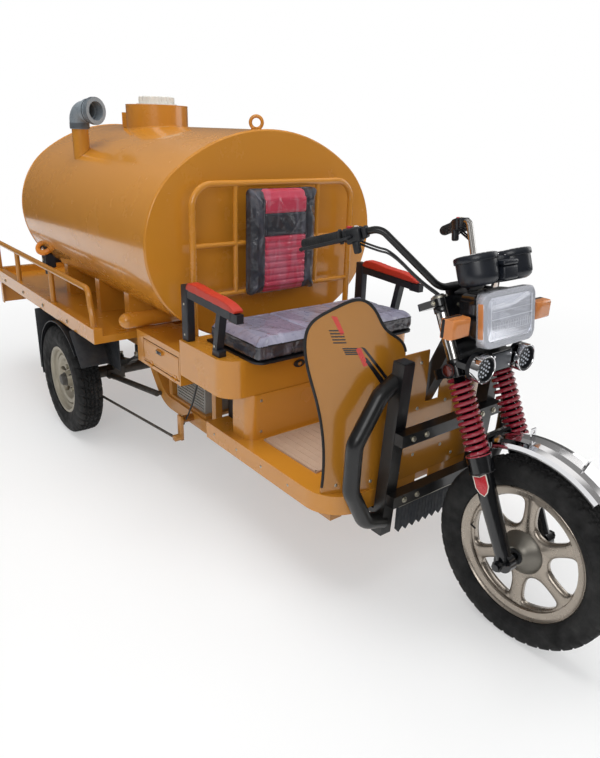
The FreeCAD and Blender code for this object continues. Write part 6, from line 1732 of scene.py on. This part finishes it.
@dataclass
class Cab:
    """Seat tray, tool boxes, front casing, floor and mat."""

    tray_front: float = 1306.0
    door_x0: float = 640.0
    door_x1: float = 950.0
    door_low: float = 540.0
    door_high: float = 634.0
    side_y: float = 477.0
    latch_y: float = 485.0
    lock_at: tuple[float, float] = (-153.0, 658.0)
    mat: tuple[float, float, float] = (1330.0, 1640.0, 330.0)
    mat_top: float = 396.0

    def build(self) -> None:
        """Dresses the sheet metal and adds lock, latches, hinge pins and mat seams."""
        wear(ENAMEL, "seat_tray", "tool_boxes", "tool_door_right", "tool_door_left", "battery_box", "floor_pan",
             "seat_rack")
        wear(CONTROL_GREY, "control_box")
        wear(PP_BLACK, "battery_pack", "seat_base")
        wear(MAT, "floor_mat")
        self.lock()
        self.latches()
        self.mat_seams()
        self.control_fins()
        self.casing_trim()

    def lock(self) -> None:
        """Oval black escutcheon with its chrome barrel on the tray's front."""
        shape = Shape()
        part = bmesh.new()
        bmesh.ops.create_circle(part, cap_ends=True, segments=40, radius=0.5)
        bmesh.ops.scale(part, vec=(0.030, 0.052, 1), verts=part.verts)
        (face,) = part.faces
        raise_face(part, face, (0, 0, 0.004))
        upright = Matrix.Rotation(math.pi / 2, 4, "Y")
        shape.take(part, 0, Matrix.Translation(at(self.tray_front, *self.lock_at)) @ upright)
        shape.lathe([(3, 0), (3, 9), (6, 8.4), (6, 2.4), (4, 2), (4, 0)], (self.tray_front + 0.5, *self.lock_at),
                    AHEAD, 32, 1)
        shape.piece("tray_lock", "chassis", "black_plastic", PP_BLACK, CHROME)

    def latches(self) -> None:
        """Latch plates with their screws on the tool doors, and the pins of their hinges."""
        for side, name in ((-1, "r"), (1, "l")):
            way = Vector((0, side, 0))
            shape = Shape()
            x = middle("tool_door_right")[0]
            y = side * self.latch_y
            shape.block((x - 24, y - 0.8, 607), (x + 24, y + 0.8, 621), 0.6, 1)
            for dx in (-18, 18):
                shape.lathe([(0, 0), (0, 4), (1.6, 3), (1.8, 0)], (x + dx, y + side * 0.4, 614), way, 20, 0)
            for z in (self.door_low + 6, self.door_high - 6):
                shape.block((self.door_x0 + 8, side * self.side_y - 1, z - 1.2),
                            (self.door_x1 - 8, side * self.side_y + 1, z + 1.2), 0.8, 2)
            shape.piece("door_trim_" + name, "tool_door_" + name, "ochre_paint", ZINC, PP_BLACK, ENAMEL)

    def mat_seams(self) -> None:
        """Thin raised ribs that run along the floor mat, and its welted rim."""
        x0, x1, half = self.mat
        top = self.mat_top
        shape = Shape()
        for i in range(21):
            y = -half + 20 + i * (2 * half - 40) / 20
            shape.block((x0 + 12, y - 2.2, top - 0.6), (x1 - 12, y + 2.2, top + 1.1), 0.7)
        for y in (-half + 5, half - 5):
            shape.block((x0 + 2, y - 4, top - 1), (x1 - 2, y + 4, top + 1.8), 1)
        for x in (x0 + 6, x1 - 6):
            shape.block((x - 4, -half + 1, top - 1), (x + 4, half - 1, top + 1.8), 1)
        shape.piece("mat_ribs", "chassis", "beige_mat", MAT)

    def control_fins(self) -> None:
        """Cooling fins, screws and a lead of the control box."""
        x0, x1, y0, _, z0, z1 = limits("control_box")
        shape = Shape()
        for i in range(9):
            z = z0 + 18 + i * (z1 - z0 - 36) / 8
            shape.block((x0 + 10, y0 - 5, z - 1.6), (x1 - 10, y0 + 1, z + 1.6), 0.8)
        for x in (x0 + 6, x1 - 6):
            for z in (z0 + 8, z1 - 8):
                shape.bolt((x, y0, z), Vector((0, -1, 0)), 7, 3, 1)
        shape.hose([(x0 + 40, y0 + 30, z1 - 2), (x0 + 40, y0 + 30, z1 + 14), (x0 + 60, y0 + 60, z1 + 16),
                    (x0 + 90, y0 + 90, z1 - 2)], 5, 2)
        shape.piece("control_box_trim", "chassis", "control_grey", CONTROL_GREY, ZINC, CABLE_BLACK)

    def casing_trim(self) -> None:
        """Screws of the front casing and rivets along the sill."""
        shape = Shape()
        for side in (-1, 1):
            for z in (420, 545):
                shape.lathe([(0, 0), (0, 6), (1.6, 5), (2.6, 2.6), (3, 0)], (1311.8, side * 330, z), AHEAD, 24)
            for x in (1120, 1280, 1440, 1600):
                shape.lathe([(0, 0), (0, 5), (1.4, 4.4), (2.4, 2.4), (2.8, 0)], (x, side * 419.8, 356),
                            Vector((0, side, 0)), 24)
        shape.piece("casing_screws", "chassis", "steel", ZINC)


@dataclass
class Upholstery:
    """Seat cushion and backrest, filled with foam and covered, and the armrests' soft pads."""

    voxel: float = 5.5
    arm_voxel: float = 3.0
    arm_y: float = 448.0
    field_half: float = 102.0
    band: tuple[float, float] = (1087.0, 1177.0)
    rib: float = 26.0
    pressure: float = 4.0
    cap: float = 10.0

    def swell(self, shape: Shape, name: str, body: str, slot: str, held: Callable[[Vector], bool],
              *finishes: Finish) -> bpy.types.Object:
        """Remeshes a pad and blows it up a little as cloth.

        Args:
            shape: The slack pad.
            name: Name of the piece.
            body: Body that it rides on.
            slot: The record's material slot.
            held: Says whether a place rests on something and stays.
            *finishes: Its finishes.

        Returns:
            The padded piece.
        """
        pad = shape.piece(name, body, slot, *finishes)
        bpy.context.view_layer.objects.active = pad
        self.remesh(pad, self.voxel)
        rest = [vertex.co.copy() for vertex in pad.data.vertices]
        cloth = pad.modifiers.new("fill", "CLOTH")
        cloth.settings.use_pressure = True
        cloth.settings.uniform_pressure_force = self.pressure
        cloth.settings.effector_weights.gravity = 0
        cloth.settings.quality = 6
        pinned = pad.vertex_groups.new(name="rests")
        pinned.add([i for i, place in enumerate(rest) if held(place)], 1.0, "REPLACE")
        cloth.settings.vertex_group_mass = "rests"
        for step in range(1, 21):
            bpy.context.scene.frame_set(step)
        self.bake(pad)
        bpy.context.scene.frame_set(1)
        for vertex, place in zip(pad.data.vertices, rest):
            moved = vertex.co - place
            if moved.length > self.cap / 1000:
                vertex.co = place + moved.normalized() * (self.cap / 1000)
        return pad

    def remesh(self, pad: bpy.types.Object, size: float) -> None:
        """Gives a pad an even mesh.

        Args:
            pad: The pad.
            size: Millimetres of one voxel.
        """
        remesh = pad.modifiers.new("voxels", "REMESH")
        remesh.mode = "VOXEL"
        remesh.voxel_size = size / 1000
        self.bake(pad)

    def soften(self, part: bmesh.types.BMesh) -> None:
        """Smooths a mesh by one pass."""
        bmesh.ops.smooth_vert(part, verts=part.verts, factor=0.5, use_axis_x=True, use_axis_y=True, use_axis_z=True)

    def bake(self, pad: bpy.types.Object) -> None:
        """Applies a pad's modifiers by taking its evaluated mesh.

        Args:
            pad: The pad.
        """
        view = bpy.context.evaluated_depsgraph_get()
        mesh = bpy.data.meshes.new_from_object(pad.evaluated_get(view))
        old = pad.data
        pad.modifiers.clear()
        pad.data = mesh
        mesh.name = pad.name
        bpy.data.meshes.remove(old)

    def cover(self, pad: bpy.types.Object, seams: Callable[[Vector], tuple[float, int]]) -> None:
        """Presses seams and channels into a swollen pad, gives each face its finish and smooths it.

        Args:
            pad: The swollen pad.
            seams: Gives the sink in millimetres towards the pad's middle, and the finish, at a place.
        """
        shape = bmesh.new()
        shape.from_mesh(pad.data)
        self.soften(shape)
        bmesh.ops.subdivide_edges(shape, edges=shape.edges, cuts=1, use_grid_fill=True, smooth=0.3)
        shape.normal_update()
        for vertex in shape.verts:
            sink, _ = seams(vertex.co)
            vertex.co -= vertex.normal * (sink / 1000)
        for face in shape.faces:
            face.material_index = seams(face.calc_center_median())[1]
        shape.to_mesh(pad.data)
        shape.free()
        pad.data.shade_smooth()

    def build(self) -> None:
        """Makes the cushion, the backrest and the arm pads."""
        wear(ARM_GREY, "armrest_frames")
        self.cushion()
        self.backrest()
        self.arm_pads()

    def cushion(self) -> None:
        """Broad seat with a welt round its top and two cross channels."""
        x0, x1, _, half, z0, z1 = limits("seat_cushion")
        slack = Shape()
        slack.block((x0 + 6, -half + 6, z0 + 1), (x1 - 6, half - 6, z1 - 10), 26, segments=5)
        base = z0 / 1000 + 0.008
        pad = self.swell(slack, "seat_pad", "seat_lid", "seat_cover", lambda place: place.z < base, SEAT_BLACK,
                         WELT_BLACK, SEAT_TOP_SHEEN)

        def seams(place: Vector) -> tuple[float, int]:
            """Channels across the seat, the welt and a shallow dish.

            Args:
                place: A place on the cushion.

            Returns:
                Its sink in millimetres and the number of its finish.
            """
            x, y, z = from_axle(place)
            sink = 0.0
            if z > z1 - 26:
                for line in (-half / 3, half / 3):
                    sink += 5.0 * math.exp(-((y - line) / 5.0) ** 2)
                sink += 3.0 * math.exp(-((x - (x0 + 60)) / 6.0) ** 2)
                sink += 4.0 * math.exp(-(((x - (x0 + x1) / 2) / 120) ** 2 + ((abs(y) - half / 2) / 120) ** 2))
            welt = math.exp(-((z - (z1 - 27)) / 3.0) ** 2)
            # Faces on the seat's top get finish 2, the pale lit copy of the cover: painted reflection of the room
            # above
            return (sink - 2.6 * welt, 1 if welt > 0.5 else 2 if z > z1 - 26 else 0)

        self.cover(pad, seams)
        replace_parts(pad, "seat_cushion")

    def backrest(self) -> None:
        """Tall back with a ribbed crimson middle, a black band and black sides."""
        x0, x1, _, half, z0, z1 = limits("backrest")
        slack = Shape()
        slack.block((x0 + 1, -half + 5, z0 + 5), (x1 - 8, half - 5, z1 - 5), 18, segments=5)
        back = at(x0 + 7, 0, 0).x
        pad = self.swell(slack, "back_pad", "chassis", "backrest_cover", lambda place: place.x < back, BACK_BLACK,
                         BACK_CRIMSON)

        def seams(place: Vector) -> tuple[float, int]:
            """Ribs of the crimson field, its side seams and the band's seams.

            Args:
                place: A place on the backrest.

            Returns:
                Its sink in millimetres and the number of its finish.
            """
            x, y, z = from_axle(place)
            if x < x0 + 16:
                return (0.0, 0)
            foot, top = self.band
            inside = abs(y) < self.field_half and z0 + 14 < z < z1 - 4
            sink = 4.5 * math.exp(-((abs(y) - self.field_half) / 4.0) ** 2)
            if inside:
                sink += 4.0 * math.exp(-((z - top) / 4.0) ** 2) + 4.0 * math.exp(-((z - foot) / 4.0) ** 2)
                if z < foot:
                    sink += 3.4 * (0.5 + 0.5 * math.cos(math.tau * (z - foot) / self.rib)) ** 3
            return (sink, 1 if inside and not foot < z < top else 0)

        self.cover(pad, seams)
        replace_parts(pad, "backrest")

    def arm_pads(self) -> None:
        """Moulded arm pads, rounded all over."""
        for side in (-1, 1):
            part = merged("armrest_pads")
            slice_at(part, (0, 0, 0), (0, -side, 0))
            shape = Shape()
            shape.take(part)
            pad = shape.piece("arm_pad_left" if side > 0 else "arm_pad_right", "chassis", "red_pad", PAD_RED)
            self.remesh(pad, self.arm_voxel)
            soft = bmesh.new()
            soft.from_mesh(pad.data)
            for _ in range(5):
                self.soften(soft)
            soft.to_mesh(pad.data)
            soft.free()
            pad.data.shade_smooth()
            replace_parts(pad, "armrest_pads")
        shape = Shape()
        for side in (-1, 1):
            y = side * self.arm_y
            shape.block((966.5, y - 16.6, 714.7), (1012, y + 16.6, 932.4), 4, segments=3)
            shape.block((1190, y - 16.4, 714.7), (1236, y + 16.4, 741), 3, segments=3)
        shape.piece("arm_leg_covers", "chassis", "black_plastic", ARM_GREY)
        shape = Shape()
        for side in (-1, 1):
            for x, z in ((988, 740), (988, 860), (1206, 752)):
                shape.lathe([(0, 0), (0, 5), (1.6, 4), (2, 0)], (x, side * 464.4, z), Vector((0, side, 0)), 20)
        shape.piece("arm_screws", "chassis", "steel", ZINC)


@dataclass
class Undercarriage:
    """Frame, rear axle, leaf springs and brake rod."""

    frame_y: float = 350.0
    clamp_x: float = 30.0
    flap_y: tuple[float, float] = (502.0, 640.0)
    shade_sheet_y: float = 460.0

    def build(self) -> None:
        """Dresses the running gear and adds clamps, bolts, flaps and clipped cables."""
        wear(ENAMEL_LOW, "main_frame")
        wear(POWDER_BLACK, "front_frame")
        wear(CHASSIS_BLACK, "rear_axle", "leaf_springs")
        two_tone("brake_rod", "brake_linkage", "chassis", "black_paint", at(840, 0, 0), AHEAD,
                 CHASSIS_BLACK, ENAMEL_LOW)
        wear(PP_BLACK, "rear_mudguards")
        shape = Shape()
        for side in (-1, 1):
            y = side * self.frame_y
            for x in (-self.clamp_x, self.clamp_x):
                for edge in (-26, 26):
                    shape.rod((x, y + edge, 236), (x, y + edge, 378), 5.5, steps=16)
                    shape.lathe([(0, 0), (0, 10), (8, 10), (8, 0)], (x, y + edge, 232), UP, 6)
                shape.rod((x, y - 26, 374), (x, y + 26, 374), 5.5, steps=16)
            for x in (-340, 340):
                shape.bolt((x, y + side * 30, 463), Vector((0, side, 0)), 20, 10)
            for x in (1100, 1330, 1560):
                shape.bolt((x, y + side * 25, 318), Vector((0, side, 0)), 17, 8)
            for z in (300, 250):
                shape.bolt((0, side * 512, z), Vector((0, side, 0)), 12, 5)
        for i in range(8):
            a = math.tau * i / 8
            shape.bolt((300, 76 * math.cos(a), 290 + 76 * math.sin(a)), AHEAD, 13, 6)
        shape.piece("running_gear_bolts", "chassis", "steel", ZINC)
        self.flaps()
        lines = Shape()
        lines.hose([(150, -90, 300), (150, -200, 420), (150, -310, 480), (330, -318, 520), (440, -318, 520),
                    (560, -318, 400), (640, -318, 350), (720, -300, 352)], 6.5)
        lines.hose([(862, -418, 300), (900, -400, 380), (930, -392, 470), (950, -392, 520)], 4)
        lines.piece("chassis_cables", "chassis", "black_plastic", CABLE_BLACK)

    def flaps(self) -> None:
        """Rubber flaps behind and before the rear tyres, and dark sheets inside them, put there as painted shade."""
        shape = Shape()
        near, far = self.flap_y
        for side in (-1, 1):
            y0, y1 = sorted((side * near, side * far))
            shape.block((-320, y0, 246), (-315, y1, 572), 1.6)
            for i in range(5):
                y = y0 + 14 + i * (y1 - y0 - 28) / 4
                shape.block((-321.4, y - 3, 256), (-319, y + 3, 560), 1)
            run = at(305, 0, 428) - at(188, 0, 578)
            slope = aimed((188, 0, 578), run, "X", "Z")
            shape.block((0, y0, -2.5), (run.length * 1000, y1, 2.5), 1.6, 0, slope)
            # Dark sheet inside each tyre: painted shade between the tyre and the chassis
            y = side * self.shade_sheet_y
            shape.block((40, y - 2, 384), (332, y + 2, 566), 1.4)
        shape.piece("guard_flaps", "chassis", "rubber_sheet", FLAP_RUBBER)


@dataclass
class Studio:
    """Pale floor, soft lamps and the camera at the photograph's place."""

    eye: tuple[float, float, float] = (2.4362, -1.6131, 1.4892)
    yaw: float = 2.4672
    pitch: float = -0.365
    roll: float = 0.032
    lens: float = 31.035
    flag_r: float = 6500.0
    flag_h: float = 5600.0

    def build(self) -> None:
        """Sets the view, the world, the lamps, the floor and the camera."""
        bpy.context.scene.view_settings.view_transform = "Standard"
        self.world()
        self.lamps()
        self.floor()
        self.flags()
        self.camera()

    def world(self) -> None:
        """Pale surroundings that camera, mirrors and glass see as white."""
        world = bpy.data.worlds.new("pale_room")
        bpy.context.scene.world = world
        world.use_nodes = True
        world.node_tree.nodes.clear()
        nodes = Wiring(world.node_tree)
        dim = nodes.add("Background", {"Color": linear("#f2f4f7"), "Strength": 0.5})
        white = nodes.add("Background", {"Color": linear("#ffffff"), "Strength": 1.0})
        nodes.add("OutputWorld", {0: nodes.add("MixShader", {0: nodes.seen(), 1: dim, 2: white})})

    def lamps(self) -> None:
        """A broad lamp overhead, a key from the front right and a weak one from the left."""
        rigs = [("overhead", (0.1, -0.3, 4.6), (0.0, 0.0, 0.8), (5.0, 3.4), 160.0),
                ("key", (3.6, -3.4, 2.9), (0.3, 0.0, 0.7), (2.6, 2.0), 62.0),
                ("fill", (1.5, 4.0, 2.2), (0.2, 0.0, 0.6), (2.6, 2.0), 30.0)]
        for name, place, aim, size, watts in rigs:
            data = bpy.data.lights.new(name, "AREA")
            data.shape = "RECTANGLE"
            data.size, data.size_y = size
            data.energy = watts
            lamp = put(name, data)
            lamp.location = place
            lamp.visible_glossy = name != "overhead"
            lamp.rotation_mode = "QUATERNION"
            lamp.rotation_quaternion = (Vector(aim) - Vector(place)).to_track_quat("-Z", "Y")

    def floor(self) -> None:
        """A wide pale floor."""
        part = bmesh.new()
        bmesh.ops.create_grid(part, x_segments=1, y_segments=1, size=30)
        self.set_up("floor", part, FLOOR.build())

    def flags(self) -> None:
        """Ring and ceiling of flag cloth round the studio."""
        shape = Shape()
        shape.lathe([(0, self.flag_r), (self.flag_h, self.flag_r), (self.flag_h, 0)], (MIDDLE, 0, 0), UP)
        self.set_up("flags", shape.mesh, GreyFlag().build())

    def set_up(self, name: str, part: bmesh.types.BMesh, cloth: bpy.types.Material) -> None:
        """Puts a studio piece up, which is no part of the vehicle.

        Args:
            name: Its name.
            part: Its mesh under way.
            cloth: Its material.
        """
        mesh = mesh_of(part, name)
        mesh.materials.append(cloth)
        put(name, mesh)

    def camera(self) -> None:
        """The camera, placed and turned as the photograph was taken."""
        data = bpy.data.cameras.new("camera")
        data.lens = self.lens
        ahead = Vector((math.cos(self.pitch) * math.cos(self.yaw), math.cos(self.pitch) * math.sin(self.yaw),
                        math.sin(self.pitch)))
        right = ahead.cross(UP).normalized()
        up = right.cross(ahead)
        across = right * math.cos(self.roll) + up * math.sin(self.roll)
        upright = up * math.cos(self.roll) - right * math.sin(self.roll)
        camera = put("camera", data)
        turn = Matrix((across, upright, -ahead)).transposed().to_4x4()
        camera.matrix_world = Matrix.Translation(self.eye) @ turn
        bpy.context.scene.camera = camera


def main() -> None:
    """Builds the vehicle's dress and its studio."""
    logging.basicConfig(level=logging.INFO, format="%(message)s")
    assemblies = [Tank(), Bed(), Undercarriage(), Cab(), LegShield(), Bumper(), FrontWheel(),
                  RearWheel(-1, "right"), RearWheel(1, "left"), Fork(), Lamps(), Instruments(), Bars(),
                  Upholstery(), Studio()]
    for assembly in assemblies:
        assembly.build()


if __name__ == "__main__":
    main()
